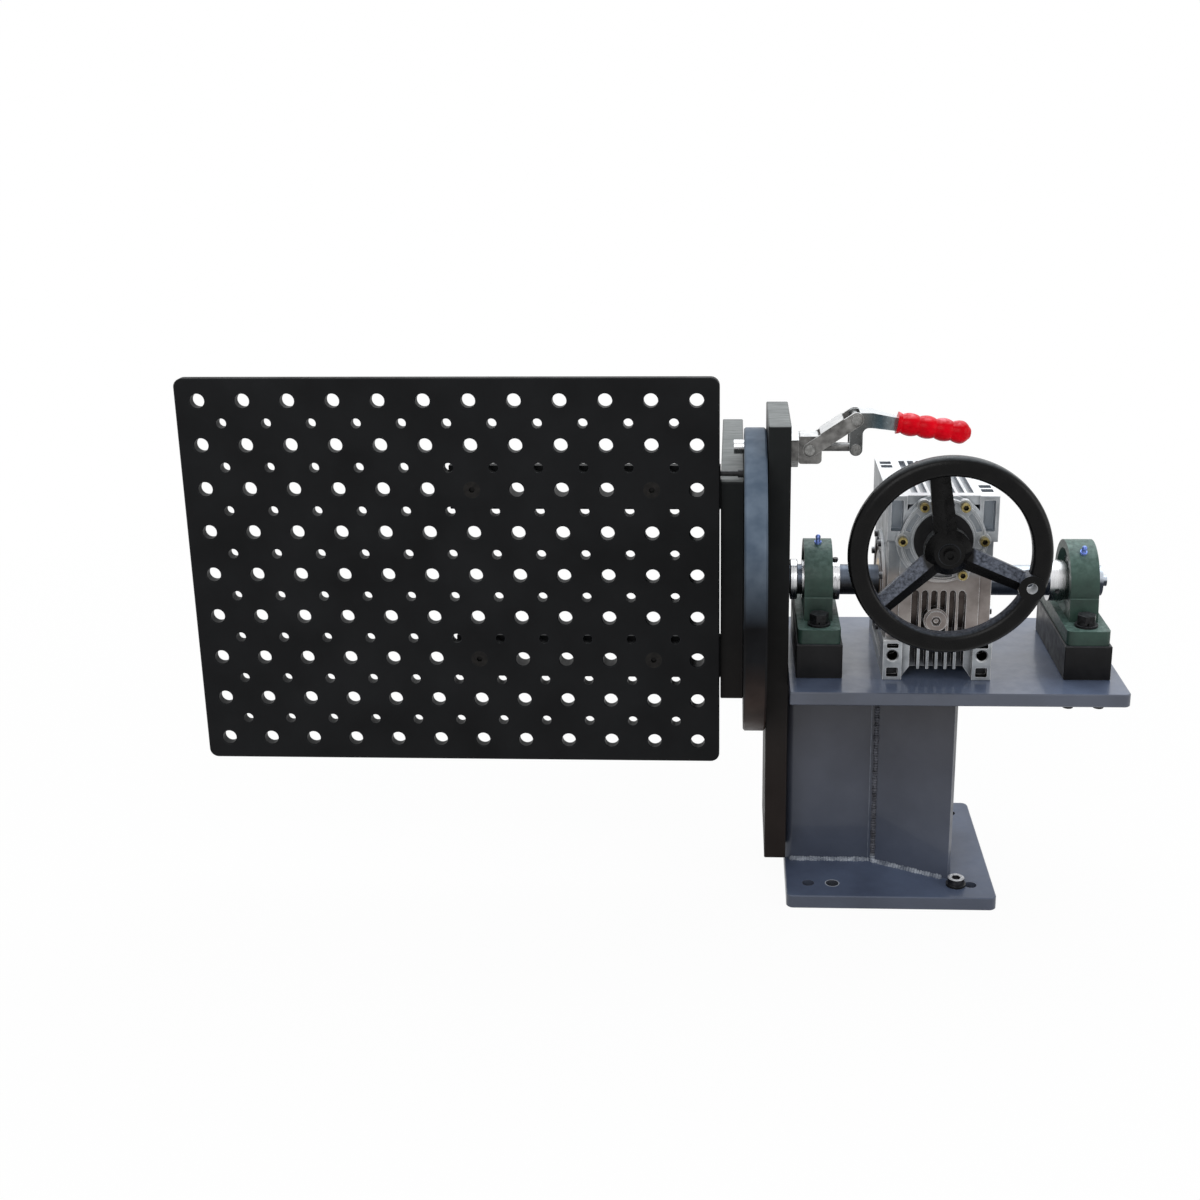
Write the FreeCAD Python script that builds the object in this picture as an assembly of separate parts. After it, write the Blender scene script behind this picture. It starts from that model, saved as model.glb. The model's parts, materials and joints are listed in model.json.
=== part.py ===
import FreeCAD, Part
import math
import os

# Welding positioner: a perforated work table that turns about a level shaft. The shaft runs in two
# pillow blocks, a worm gearbox with a handwheel turns it, and a push-pull toggle clamp locks it.
# Millimetres. +Z is up, +X runs along the shaft to its free end, -Y is the handwheel's side.
# The origin is the centre of the base plate's underside.

V = FreeCAD.Vector

# Frame of the whole machine
SHAFT_Z = 358.0          # height of the turning axis
SHAFT_R = 17.5
RUN = 0.03               # radial clearance of a running fit
FREE = 0.3               # radial clearance of parts that only pass each other

# Base, column and shelf
BASE_W, BASE_D, BASE_T, BASE_R = 240.0, 250.0, 16.0, 8.0
BASE_HOLE_R, BASE_HOLE = 7.0, 94.0
BASE_SPARE_LEFT, BASE_SPARE_RIGHT = -66.0, 77.0
COLUMN_X0, COLUMN_W, COLUMN_D, COLUMN_WALL, COLUMN_R = -120.0, 109.0, 70.0, 6.0, 9.0
GUSSET_T, GUSSET_REACH_X, GUSSET_REACH_Y = 9.0, 82.0, 42.0
SHELF_X0, SHELF_L, SHELF_D, SHELF_T, SHELF_R = -120.0, 372.0, 258.0, 15.0, 7.0
WELD = 6.0
EDGE = 1.0               # chamfer on cut plate edges

# Index plate, disc and the plates that carry the table
INDEX_T, INDEX_D, INDEX_Z0, INDEX_H = 25.0, 140.0, 34.5, 519.0
INDEX_BORE_R = 19.5
DISC_GAP, DISC_T, DISC_R, DISC_CHAMFER = 1.0, 25.0, 175.5, 2.0
INDEX_HOLE_RADIUS, INDEX_HOLE_R = 157.0, 8.0
BUSH_BORE_R, BUSH_PROUD = 5.1, 11.5
SIDE_T, SIDE_Y0, SIDE_D, SIDE_H = 26.0, -51.0, 336.0, 260.0
ARM_H, ARM_T, ARM_ROW, ARM_L = 50.0, 10.0, 2, 303.0    # each arm backs the second row from the middle
TABLE_L, TABLE_H, TABLE_T, TABLE_R = 600.0, 450.0, 12.0, 10.0
TABLE_GAP, TABLE_RISE = 1.0, 22.0
GRID = 50.0
GRID_HOLE_R, MID_HOLE_R, HOLE_EDGE = 8.0, 5.5, 1.2
TABLE_BOLT_R, TABLE_BOLT_HEAD_R, TABLE_BOLT_HEAD_H = 5.0, 9.4, 4.4

# Shaft and pillow blocks
SHAFT_X1, STUB_R, STUB_L = 239.0, 6.5, 6.5
PILLOW_X = (-86.0, 212.0)
SPACER_W, SPACER_L, SPACER_H = 52.0, 172.0, 40.0
PILLOW_CENTRE = 50.0     # shaft axis above the housing's foot
FOOT_W, FOOT_L, FOOT_T = 48.0, 167.0, 16.5
HOUSING_W, HOUSING_R = 32.0, 47.5
PILLOW_BOLT_Y, PILLOW_BOLT_R = 63.5, 6.0
OUTER_RING_R, OUTER_RING_W, OUTER_RING_BORE = 36.0, 18.0, 29.5
INNER_RING_R, INNER_SHORT = 22.5, 17.5
INNER_LONG = (25.4, 34.0)
COLLAR_R, COLLAR_L = 23.5, (9.0, 16.0)
SHAFT_RING_X0, SHAFT_RING_L = -117.0, 8.0

# Worm gearbox
GEAR_X, GEAR_W, GEAR_L, GEAR_H = 44.5, 120.0, 178.0, 213.0
CENTRES = 75.0           # shaft axis to worm axis
CASE_W, CASE_L = 112.0, 128.0
BARREL_R, CASE_R = 50.0, 74.0
CAVITY_R, HUB_R, WHEEL_R, WHEEL_W = 58.0, 25.0, 56.5, 40.0
WORM_R, WORM_L, WORM_SHAFT_R, WORM_BORE_R = 18.0, 90.0, 12.0, 26.0
FLANGE_R, FLANGE_T, FLANGE_PCR = 46.5, 8.0, 44.0
FLANGE_RIM, FLANGE_FACE_IN = 2.0, 1.5
SEAL_R, SEAL_T = 32.0, 3.0
FIN_PITCH, FIN_T = 10.1, 3.0

# Handwheel
WHEEL_Y, RIM_R, RIM_WIDE, RIM_DEEP = -152.0, 107.0, 21.0, 22.0
SPOKE_ANGLES = (99.0, 219.0, 339.0)
SPOKE_W, SPOKE_DEEP = 23.0, 15.0
HUB_BOSS_R, HUB_Y0, HUB_Y1 = 25.0, -150.0, -126.0
HUB_NOSE_R, HUB_NOSE_L, DISH = 16.0, 9.0, 14.0
GRIP_BOSS_R, GRIP_BOSS_IN, GRIP_HOLE_R = 14.0, 15.5, 5.5

# Toggle clamp
CLAMP_B_X, CLAMP_P_X, CLAMP_RISE = -97.5, -46.0, 34.5
PLUNGER_R, PLUNGER_CLEAR = 5.0, 0.5   # the pin's tip stands clear of the disc until it is pushed in
CLAMP_X0, CLAMP_L, CLAMP_HALF, CLAMP_LOW = -110.0, 26.0, 15.0, 16.5
NOSE_R, NUT_AF, NUT_T = 13.5, 41.0, 10.0
LINK_R, LINK_T, LINK_GAP = 8.0, 3.0, 0.2
HANDLE_R, HANDLE_T = 7.3, 3.0
GRIP_R, GRIP_L, GRIP_DROP = 12.0, 84.0, 5.5

# Mates
COLUMN_X1 = COLUMN_X0 + COLUMN_W
COLUMN_TOP = SHAFT_Z - PILLOW_CENTRE - SPACER_H - SHELF_T
SHELF_TOP = COLUMN_TOP + SHELF_T
INDEX_X1 = SHELF_X0
INDEX_X0 = INDEX_X1 - INDEX_T
DISC_X1 = INDEX_X0 - DISC_GAP
DISC_X0 = DISC_X1 - DISC_T
SIDE_X1 = DISC_X0
SIDE_X0 = SIDE_X1 - SIDE_T
TABLE_X = SIDE_X0 - TABLE_GAP - TABLE_L / 2
TABLE_Z = SHAFT_Z + TABLE_RISE
GRID_COLS, GRID_ROWS = round(TABLE_L / GRID), round(TABLE_H / GRID)
GRID_END = (TABLE_L - GRID * (GRID_COLS - 1)) / 2
ARM_HOLES = int((ARM_L - TABLE_GAP - GRID_END - GRID_HOLE_R) // GRID) + 1
ARM_RISE = GRID * (ARM_ROW - (GRID_ROWS + 1) % 2 / 2)
ARM_Y0 = SIDE_Y0
TABLE_Y1 = ARM_Y0
TABLE_Y0 = TABLE_Y1 - TABLE_T
ARM_ZS = (TABLE_Z - ARM_RISE, TABLE_Z + ARM_RISE)
SPACER_TOP = SHELF_TOP + SPACER_H
WORM_Z = SHAFT_Z + CENTRES
GEAR_X0, GEAR_X1 = GEAR_X - GEAR_W / 2, GEAR_X + GEAR_W / 2
GEAR_TOP = SHELF_TOP + GEAR_H
GEAR_Y0, GEAR_Y1 = -GEAR_L / 2, GEAR_L / 2
FLANGE_Y = GEAR_Y0 - FLANGE_T
CLAMP_Z = SHAFT_Z + INDEX_HOLE_RADIUS
PIVOT_B = (CLAMP_B_X, CLAMP_Z)
PIVOT_H = (CLAMP_P_X, CLAMP_Z + CLAMP_RISE)
PIVOT_P = (CLAMP_P_X, CLAMP_Z)
PLUNGER_TIP = DISC_X1 + PLUNGER_CLEAR


# ---- shape helpers: a plane is "xy", "xz" or "yz", and h runs along its normal ----

def point(plane, a, b, h):
    return {"xy": V(a, b, h), "xz": V(a, h, b), "yz": V(h, a, b)}[plane]


def normal(plane):
    return point(plane, 0, 0, 1)


def outline(plane, corners, h):
    """A closed wire through (a, b, radius) corners, each turned by a tangent arc."""
    ends = []
    for i, (a, b, r) in enumerate(corners):
        c = V(a, b, 0)
        u = V(*corners[i - 1][:2], 0) - c
        v = V(*corners[(i + 1) % len(corners)][:2], 0) - c
        u.normalize()
        v.normalize()
        if r <= 0:
            ends.append((c, None, c))
            continue
        half = u.getAngle(v) / 2
        mid = u + v
        mid.normalize()
        run = r / math.tan(half)
        ends.append((c + u * run, c + mid * (r / math.sin(half) - r), c + v * run))
    edges = []
    for i, (start, mid, end) in enumerate(ends):
        last = ends[i - 1][2]
        p = [point(plane, q.x, q.y, h) for q in (last, start, mid or start, end)]
        if (p[0] - p[1]).Length > 1e-6:
            edges.append(Part.makeLine(p[0], p[1]))
        if mid:
            edges.append(Part.Arc(p[1], p[2], p[3]).toShape())
    return Part.Wire(edges)


def prism(plane, corners, h0, h1):
    face = Part.Face(outline(plane, corners, h0))
    return face.extrude(normal(plane) * (h1 - h0))


def rect(a0, a1, b0, b1, r=0.0):
    return [(a0, b0, r), (a1, b0, r), (a1, b1, r), (a0, b1, r)]


def rod(plane, a, b, h0, h1, r):
    return Part.makeCylinder(r, h1 - h0, point(plane, a, b, h0), normal(plane))


def ring(plane, a, b, h0, h1, r_out, r_in):
    return rod(plane, a, b, h0, h1, r_out).cut(rod(plane, a, b, h0, h1, r_in))


def cone(plane, a, b, h0, h1, r0, r1):
    return Part.makeCone(r0, r1, h1 - h0, point(plane, a, b, h0), normal(plane))


def block(x0, x1, y0, y1, z0, z1):
    return Part.makeBox(x1 - x0, y1 - y0, z1 - z0, V(x0, y0, z0))


def hexagon(plane, a, b, h0, h1, across_flats, turn=0.0):
    r = across_flats / math.sqrt(3)
    angles = [math.radians(turn + 60 * i) for i in range(6)]
    return prism(plane, [(a + r * math.cos(t), b + r * math.sin(t), 0) for t in angles], h0, h1)


def softened(plane, solid, h0, h1, c=EDGE):
    """Chamfers the outline's edges on both end faces."""
    ends = []
    for edge in solid.Edges:
        hs = [v.Point.dot(normal(plane)) for v in edge.Vertexes]
        if max(hs) - min(hs) < 1e-6 and min(abs(hs[0] - h0), abs(hs[0] - h1)) < 1e-6:
            ends.append(edge)
    return solid.makeChamfer(c, ends)


def cut_all(solid, tools):
    return solid.cut(Part.makeCompound(tools)) if tools else solid


def fuse_all(solids):
    return solids[0].multiFuse(solids[1:]).removeSplitter()


def mirrored_y(shape):
    return shape.mirror(V(0, 0, 0), V(0, 1, 0))


def cap_screw(plane, a, b, seat, way, r, length, head_r=None, head_h=None):
    """A socket-head screw: the head stands on seat and points along way, the shank goes back."""
    head_r, head_h = head_r or 1.5 * r, head_h or 2 * r
    top, tip = seat + way * head_h, seat - way * length
    head = rod(plane, a, b, min(seat, top), max(seat, top), head_r)
    floor = top - way * head_h * 0.55
    socket = hexagon(plane, a, b, min(top, floor), max(top, floor), 1.6 * r)
    return head.cut(socket).fuse(rod(plane, a, b, min(seat, tip), max(seat, tip), r))


def hex_screw(plane, a, b, seat, way, r, length, across_flats, head_h, turn=0.0):
    top, tip = seat + way * head_h, seat - way * length
    head = hexagon(plane, a, b, min(seat, top), max(seat, top), across_flats, turn)
    return head.fuse(rod(plane, a, b, min(seat, tip), max(seat, tip), r))


# ---- base, column and shelf ----

def base_holes():
    corner = [(x, y) for x in (-BASE_HOLE, BASE_HOLE) for y in (-BASE_HOLE, BASE_HOLE)]
    spare = [(x, y) for x in (BASE_SPARE_LEFT, BASE_SPARE_RIGHT) for y in (-BASE_HOLE, BASE_HOLE)]
    return corner + spare


def base_plate():
    corners = rect(-BASE_W / 2, BASE_W / 2, -BASE_D / 2, BASE_D / 2, BASE_R)
    plate = softened("xy", prism("xy", corners, 0, BASE_T), 0, BASE_T)
    return cut_all(plate, [rod("xy", x, y, 0, BASE_T, BASE_HOLE_R) for x, y in base_holes()])


BASE_WASHER_R, BASE_WASHER_T = 11.5, 2.5
BASE_BOLT_R, BASE_BOLT_HEAD_R, BASE_BOLT_HEAD_H = 6.0, 9.5, 7.0


def base_washer():
    return ring("xy", BASE_SPARE_RIGHT, -BASE_HOLE, BASE_T, BASE_T + BASE_WASHER_T,
                BASE_WASHER_R, BASE_BOLT_R)


def base_bolt():
    return cap_screw("xy", BASE_SPARE_RIGHT, -BASE_HOLE, BASE_T + BASE_WASHER_T, 1, BASE_BOLT_R,
                     BASE_T + BASE_WASHER_T - 0.5, BASE_BOLT_HEAD_R, BASE_BOLT_HEAD_H)


INDEX_SCREW_R = 5.0
INDEX_SCREW_ZS, INDEX_SCREW_HALF, SHELF_EDGE_HALF = (60.0, 190.0), 20.0, 45.0
INDEX_SCREWS = [(y, z) for z in INDEX_SCREW_ZS for y in (-INDEX_SCREW_HALF, INDEX_SCREW_HALF)]
SHELF_EDGE_SCREWS = [(y, COLUMN_TOP + SHELF_T / 2) for y in (-SHELF_EDGE_HALF, SHELF_EDGE_HALF)]
SHELF_SCREW_R, SHELF_SCREW_DEEP = 4.0, 20.0


def column_blank(w=0.0):
    """The tube's outline as a solid, or the space inside it when w is the wall."""
    half = COLUMN_D / 2
    corners = rect(COLUMN_X0 + w, COLUMN_X1 - w, w - half, half - w, COLUMN_R - w)
    return prism("xy", corners, BASE_T, COLUMN_TOP)


def column_tube():
    w = COLUMN_WALL
    holes = [rod("yz", y, z, COLUMN_X0, COLUMN_X0 + w, INDEX_SCREW_R) for y, z in INDEX_SCREWS]
    return cut_all(column_blank().cut(column_blank(w)), holes)


GUSSET_L = math.hypot(GUSSET_REACH_X, GUSSET_REACH_Y)


def gusset_lines(side):
    """The tube's corner, and unit vectors along the gusset and across it to its outer side."""
    along = V(GUSSET_REACH_X / GUSSET_L, side * GUSSET_REACH_Y / GUSSET_L, 0)
    return V(COLUMN_X1, side * COLUMN_D / 2, 0), along, V(-along.y * side, along.x * side, 0)


def gusset(side):
    """A web from the tube's right corner out over the base plate; side is -1 in front, 1 behind."""
    corner, along, across = gusset_lines(side)
    start, end, half = corner - along * COLUMN_R, corner + along * GUSSET_L, across * (GUSSET_T / 2)
    corners = [start + half, end + half, end - half, start - half]
    web = prism("xy", [(p.x, p.y, 0) for p in corners], BASE_T, COLUMN_TOP)
    return web.cut(column_blank())


WELD_END = 9.0           # the beads stop this far short of the gusset's free edge


def weld_beads():
    """Fillet welds: along the column's foot, up both edges of each gusset and along its foot."""
    beads = []
    for side in (-1, 1):
        corner, along, across = gusset_lines(side)
        group = [rod("yz", side * COLUMN_D / 2, BASE_T, COLUMN_X0 + COLUMN_R, COLUMN_X1 - COLUMN_R, WELD)]
        for half in (across * (GUSSET_T / 2), across * (-GUSSET_T / 2)):
            upright = corner + half - along * (WELD / 4)
            group.append(rod("xy", upright.x, upright.y, BASE_T, COLUMN_TOP, WELD))
            foot = corner + half + V(0, 0, BASE_T)
            group.append(Part.makeCylinder(WELD, GUSSET_L - WELD_END, foot, along))
        below = block(COLUMN_X0, BASE_W / 2, -BASE_D / 2, BASE_D / 2, BASE_T - 2 * WELD, BASE_T)
        beads.append(fuse_all(group).cut(Part.makeCompound([column_blank(), gusset(side), below])))
    return Part.makeCompound(beads)


GEAR_FOOT_W, GEAR_FOOT_H, GEAR_FOOT_D = 21.0, 47.0, 36.0
GEAR_BOLT_R, GEAR_BOLT_Y, GEAR_BOLT_IN = 4.0, 66.0, 12.0
GEAR_BOLT_HEAD_AF, GEAR_BOLT_HEAD_H, GEAR_BOLT_DEEP = 13.0, 5.3, 16.0
STUD_R, STUD_X, STUD_Y, STUD_DROP, STUD_DEEP = 6.0, 17.0, 76.0, 21.0, 26.0
STUD_NUT_AF, STUD_NUT_H = 19.0, 10.0


def gear_bolt_places():
    xs = (GEAR_X0 + GEAR_BOLT_IN, GEAR_X1 - GEAR_BOLT_IN)
    return [(x, y) for x in xs for y in (-GEAR_BOLT_Y, GEAR_BOLT_Y)]


def stud_places():
    return [(PILLOW_X[1] + dx, y) for dx in (-STUD_X, STUD_X) for y in (-STUD_Y, STUD_Y)]


def pillow_bolt_places():
    return [(x, y) for x in PILLOW_X for y in (-PILLOW_BOLT_Y, PILLOW_BOLT_Y)]


PILLOW_BOLT_TIP = COLUMN_TOP + 3.0


def shelf_plate():
    half = SHELF_D / 2
    corners = [(SHELF_X0, -half, 2), (SHELF_X0 + SHELF_L, -half, SHELF_R),
               (SHELF_X0 + SHELF_L, half, SHELF_R), (SHELF_X0, half, 2)]
    plate = softened("xy", prism("xy", corners, COLUMN_TOP, SHELF_TOP), COLUMN_TOP, SHELF_TOP)
    holes = [rod("xy", x, y, COLUMN_TOP, SHELF_TOP, GEAR_BOLT_R) for x, y in gear_bolt_places()]
    holes += [rod("xy", x, y, COLUMN_TOP, SHELF_TOP, STUD_R) for x, y in stud_places()]
    holes += [rod("xy", x, y, PILLOW_BOLT_TIP, SHELF_TOP, PILLOW_BOLT_R) for x, y in pillow_bolt_places()]
    holes += [rod("yz", y, z, SHELF_X0, SHELF_X0 + SHELF_SCREW_DEEP, SHELF_SCREW_R)
              for y, z in SHELF_EDGE_SCREWS]
    return cut_all(plate, holes)


# ---- index plate ----

HEAD_ROOM = 1.0          # how deep a counterbored head sits under its face


def index_plate():
    half, top = INDEX_D / 2, INDEX_Z0 + INDEX_H
    plate = prism("yz", rect(-half, half, INDEX_Z0, top, 3), INDEX_X0, INDEX_X1)
    plate = softened("yz", plate, INDEX_X0, INDEX_X1)
    tools = [rod("yz", 0, SHAFT_Z, INDEX_X0, INDEX_X1, INDEX_BORE_R),
             rod("yz", 0, CLAMP_Z, INDEX_X0, INDEX_X1, NOSE_R)]
    for places, r in ((INDEX_SCREWS, INDEX_SCREW_R), (SHELF_EDGE_SCREWS, SHELF_SCREW_R)):
        for y, z in places:
            tools.append(rod("yz", y, z, INDEX_X0, INDEX_X1, r))
            tools.append(rod("yz", y, z, INDEX_X0, INDEX_X0 + 2 * r + HEAD_ROOM, 1.6 * r))
    return cut_all(plate, tools)


def index_plate_screws():
    screws = []
    for y, z in INDEX_SCREWS:
        seat = INDEX_X0 + 2 * INDEX_SCREW_R + HEAD_ROOM
        screws.append(cap_screw("yz", y, z, seat, -1, INDEX_SCREW_R, INDEX_X1 - seat + COLUMN_WALL))
    for y, z in SHELF_EDGE_SCREWS:
        seat = INDEX_X0 + 2 * SHELF_SCREW_R + HEAD_ROOM
        screws.append(cap_screw("yz", y, z, seat, -1, SHELF_SCREW_R, INDEX_X1 - seat + SHELF_SCREW_DEEP - 2))
    return Part.makeCompound(screws)


# ---- pillow blocks ----

def spacer(x):
    block_ = prism("xy", rect(x - SPACER_W / 2, x + SPACER_W / 2, -SPACER_L / 2, SPACER_L / 2, 1.5),
                   SHELF_TOP, SPACER_TOP)
    block_ = softened("xy", block_, SHELF_TOP, SPACER_TOP)
    holes = [rod("xy", px, py, SHELF_TOP, SPACER_TOP, PILLOW_BOLT_R)
             for px, py in pillow_bolt_places() if px == x]
    if x == PILLOW_X[1]:
        holes += [rod("xy", px, py, SHELF_TOP, SHELF_TOP + STUD_DEEP, STUD_R) for px, py in stud_places()]
    return cut_all(block_, holes)


def pillow_housing(x, nipple_angle):
    """Cast housing: long foot, round body on sloping flanks, spherical seat for the insert."""
    z0 = SPACER_TOP
    foot = prism("xy", rect(x - FOOT_W / 2, x + FOOT_W / 2, -FOOT_L / 2, FOOT_L / 2, 6), z0, z0 + FOOT_T)
    flank_y = HOUSING_R + 3.0
    hip = SHAFT_Z - 6.0
    body = [(-flank_y, z0 + 2, 0), (flank_y, z0 + 2, 0), (flank_y, z0 + FOOT_T, 0),
            (HOUSING_R, hip, 3), (-HOUSING_R, hip, 3), (-flank_y, z0 + FOOT_T, 0)]
    x0, x1 = x - HOUSING_W / 2, x + HOUSING_W / 2
    round_ = rod("yz", 0, SHAFT_Z, x0, x1, HOUSING_R)
    solid = fuse_all([foot, prism("yz", body, x0, x1), round_])
    half_w = OUTER_RING_W / 2
    seat_edge = math.sqrt(OUTER_RING_R ** 2 - half_w ** 2)
    edges = [Part.makeLine(V(x0, 0, SHAFT_Z), V(x0, 0, SHAFT_Z + 38)),
             Part.makeLine(V(x0, 0, SHAFT_Z + 38), V(x - half_w, 0, SHAFT_Z + seat_edge)),
             Part.Arc(V(x - half_w, 0, SHAFT_Z + seat_edge), V(x, 0, SHAFT_Z + OUTER_RING_R),
                      V(x + half_w, 0, SHAFT_Z + seat_edge)).toShape(),
             Part.makeLine(V(x + half_w, 0, SHAFT_Z + seat_edge), V(x1, 0, SHAFT_Z + 38)),
             Part.makeLine(V(x1, 0, SHAFT_Z + 38), V(x1, 0, SHAFT_Z)),
             Part.makeLine(V(x1, 0, SHAFT_Z), V(x0, 0, SHAFT_Z))]
    seat = Part.Face(Part.Wire(edges)).revolve(V(0, 0, SHAFT_Z), V(1, 0, 0), 360)
    holes = [rod("xy", x, y, z0, z0 + FOOT_T, PILLOW_BOLT_R + 0.5) for y in (-PILLOW_BOLT_Y, PILLOW_BOLT_Y)]
    solid = cut_all(solid, [seat] + holes)
    return solid.cut(nipple_shank(x, nipple_angle, NIPPLE_SHANK_R))


NIPPLE_SHANK_R, NIPPLE_HEX_AF, NIPPLE_BALL_R = 2.5, 8.0, 3.0
NIPPLE_ANGLES = (12.0, 32.0)


def nipple_way(angle):
    t = math.radians(angle)
    return V(0, -math.sin(t), math.cos(t))


def nipple_shank(x, angle, r):
    way = nipple_way(angle)
    return Part.makeCylinder(r, 6.0, V(x, 0, SHAFT_Z) + way * (HOUSING_R - 6.0), way)


def grease_nipples():
    group = []
    for x, angle in zip(PILLOW_X, NIPPLE_ANGLES):
        way, foot = nipple_way(angle), V(x, 0, SHAFT_Z) + nipple_way(angle) * HOUSING_R
        stem = Part.makeCone(3.4, 2.2, 7.0, foot, way)
        neck = nipple_shank(x, angle, NIPPLE_SHANK_R)
        ball = Part.makeSphere(NIPPLE_BALL_R, foot + way * 8.0)
        flange = Part.makeCylinder(NIPPLE_HEX_AF / 2, 2.4, foot, way)
        group.append(fuse_all([stem, neck, ball, flange]).cut(rod("yz", 0, SHAFT_Z, x - 9, x + 9, HOUSING_R)
                     .cut(nipple_shank(x, angle, NIPPLE_SHANK_R))))
    return Part.makeCompound(group)


def bearing_outer(x):
    """The insert's spherical outer ring with its two seals."""
    half_w = OUTER_RING_W / 2
    edge = math.sqrt(OUTER_RING_R ** 2 - half_w ** 2)
    seal = INNER_RING_R + FREE
    lip = 1.5
    a, b, c = SHAFT_Z + edge, SHAFT_Z + seal, SHAFT_Z + OUTER_RING_BORE
    pts = [V(x - half_w, 0, b), V(x - half_w + lip, 0, b), V(x - half_w + lip, 0, c),
           V(x + half_w - lip, 0, c), V(x + half_w - lip, 0, b), V(x + half_w, 0, b), V(x + half_w, 0, a)]
    edges = [Part.makeLine(p, q) for p, q in zip(pts, pts[1:])]
    edges.append(Part.Arc(pts[-1], V(x, 0, SHAFT_Z + OUTER_RING_R), V(x - half_w, 0, a)).toShape())
    edges.append(Part.makeLine(V(x - half_w, 0, a), pts[0]))
    return Part.Face(Part.Wire(edges)).revolve(V(0, 0, SHAFT_Z), V(1, 0, 0), 360)


SET_SCREW_R = 3.0


def set_screw_tool(x, angle, r_in, r_out):
    t = math.radians(angle)
    way = V(0, -math.sin(t), math.cos(t))
    return Part.makeCylinder(SET_SCREW_R, r_out - r_in, V(x, 0, SHAFT_Z) + way * r_in, way)


def collar_x(i):
    """Middle of the insert's collar: it points to the gearbox on both blocks."""
    way = 1 if i == 0 else -1
    return PILLOW_X[i] + way * (INNER_LONG[i] - COLLAR_L[i] / 2)


def bearing_inner(i):
    x, way = PILLOW_X[i], 1 if i == 0 else -1
    ends = sorted((x - way * INNER_SHORT, x + way * INNER_LONG[i]))
    body = rod("yz", 0, SHAFT_Z, ends[0], ends[1], INNER_RING_R)
    collar = rod("yz", 0, SHAFT_Z, collar_x(i) - COLLAR_L[i] / 2, collar_x(i) + COLLAR_L[i] / 2, COLLAR_R)
    solid = body.fuse(collar).cut(rod("yz", 0, SHAFT_Z, ends[0], ends[1], SHAFT_R))
    return cut_all(solid, [set_screw_tool(collar_x(i), a, SHAFT_R - 1, COLLAR_R + 1) for a in SET_ANGLES[i]])


# measured from the top towards the handwheel; the left collar's screws stand proud, the right's are sunk
SET_ANGLES = ((5.0, 125.0), (105.0, 225.0))
SET_SCREW_TOP = (3.0, -2.0)


def bearing_set_screws():
    screws = []
    for i in (0, 1):
        for a in SET_ANGLES[i]:
            tool = set_screw_tool(collar_x(i), a, SHAFT_R - 1, COLLAR_R + SET_SCREW_TOP[i])
            x = collar_x(i)
            screws.append(tool.cut(rod("yz", 0, SHAFT_Z, x - COLLAR_R, x + COLLAR_R, SHAFT_R)))
    return Part.makeCompound(screws)


PILLOW_WASHER_R, PILLOW_WASHER_T = 13.0, 2.5
SPRING_WASHER_R, SPRING_WASHER_T, SPRING_WASHER_SLIT = 10.2, 3.0, 2.0
PILLOW_HEAD_AF, PILLOW_HEAD_H = 19.0, 8.0


def pillow_washers():
    """A flat washer with a slit spring washer on it, at each bolt."""
    group = []
    for x, y in pillow_bolt_places():
        z0 = SPACER_TOP + FOOT_T
        z1 = z0 + PILLOW_WASHER_T
        group.append(ring("xy", x, y, z0, z1, PILLOW_WASHER_R, PILLOW_BOLT_R))
        spring = ring("xy", x, y, z1, z1 + SPRING_WASHER_T, SPRING_WASHER_R, PILLOW_BOLT_R)
        half = SPRING_WASHER_SLIT / 2
        slit = block(x - half, x + half, y - SPRING_WASHER_R, y, z1, z1 + SPRING_WASHER_T)
        group.append(spring.cut(slit))
    return Part.makeCompound(group)


def pillow_bolts():
    seat = SPACER_TOP + FOOT_T + PILLOW_WASHER_T + SPRING_WASHER_T
    return Part.makeCompound([hex_screw("xy", x, y, seat, 1, PILLOW_BOLT_R, seat - PILLOW_BOLT_TIP,
                                        PILLOW_HEAD_AF, PILLOW_HEAD_H, 12) for x, y in pillow_bolt_places()])


def spacer_studs():
    return Part.makeCompound([rod("xy", x, y, COLUMN_TOP - STUD_DROP, SHELF_TOP + STUD_DEEP, STUD_R)
                              for x, y in stud_places()])


def spacer_nuts():
    return Part.makeCompound([
        hexagon("xy", x, y, COLUMN_TOP - STUD_NUT_H, COLUMN_TOP, STUD_NUT_AF)
        .cut(rod("xy", x, y, COLUMN_TOP - STUD_NUT_H, COLUMN_TOP, STUD_R)) for x, y in stud_places()])


# ---- shaft, disc, side plate, arms and table: everything that turns with the work ----

KEY_W, KEY_H = 10.0, 8.0
KEY_SINK = 5.0


def key_block(x0, x1):
    top = SHAFT_Z + SHAFT_R + KEY_H - KEY_SINK
    return block(x0, x1, -KEY_W / 2, KEY_W / 2, top - KEY_H, top)


DISC_KEY = (DISC_X0, DISC_X1)
GEAR_KEY = (GEAR_X - 40.0, GEAR_X + 40.0)


def main_shaft():
    body = rod("yz", 0, SHAFT_Z, DISC_X0, SHAFT_X1, SHAFT_R)
    body = body.fuse(rod("yz", 0, SHAFT_Z, SHAFT_X1, SHAFT_X1 + STUB_L, STUB_R))
    return body.cut(key_block(*DISC_KEY)).cut(key_block(*GEAR_KEY))


def shaft_keys():
    return Part.makeCompound([key_block(*DISC_KEY), key_block(*GEAR_KEY)])


def shaft_ring():
    return softened("yz", rod("yz", 0, SHAFT_Z, SHAFT_RING_X0, SHAFT_RING_X0 + SHAFT_RING_L, COLLAR_R),
                    SHAFT_RING_X0, SHAFT_RING_X0 + SHAFT_RING_L, 0.8).cut(
        rod("yz", 0, SHAFT_Z, SHAFT_RING_X0, SHAFT_RING_X0 + SHAFT_RING_L, SHAFT_R))


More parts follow.
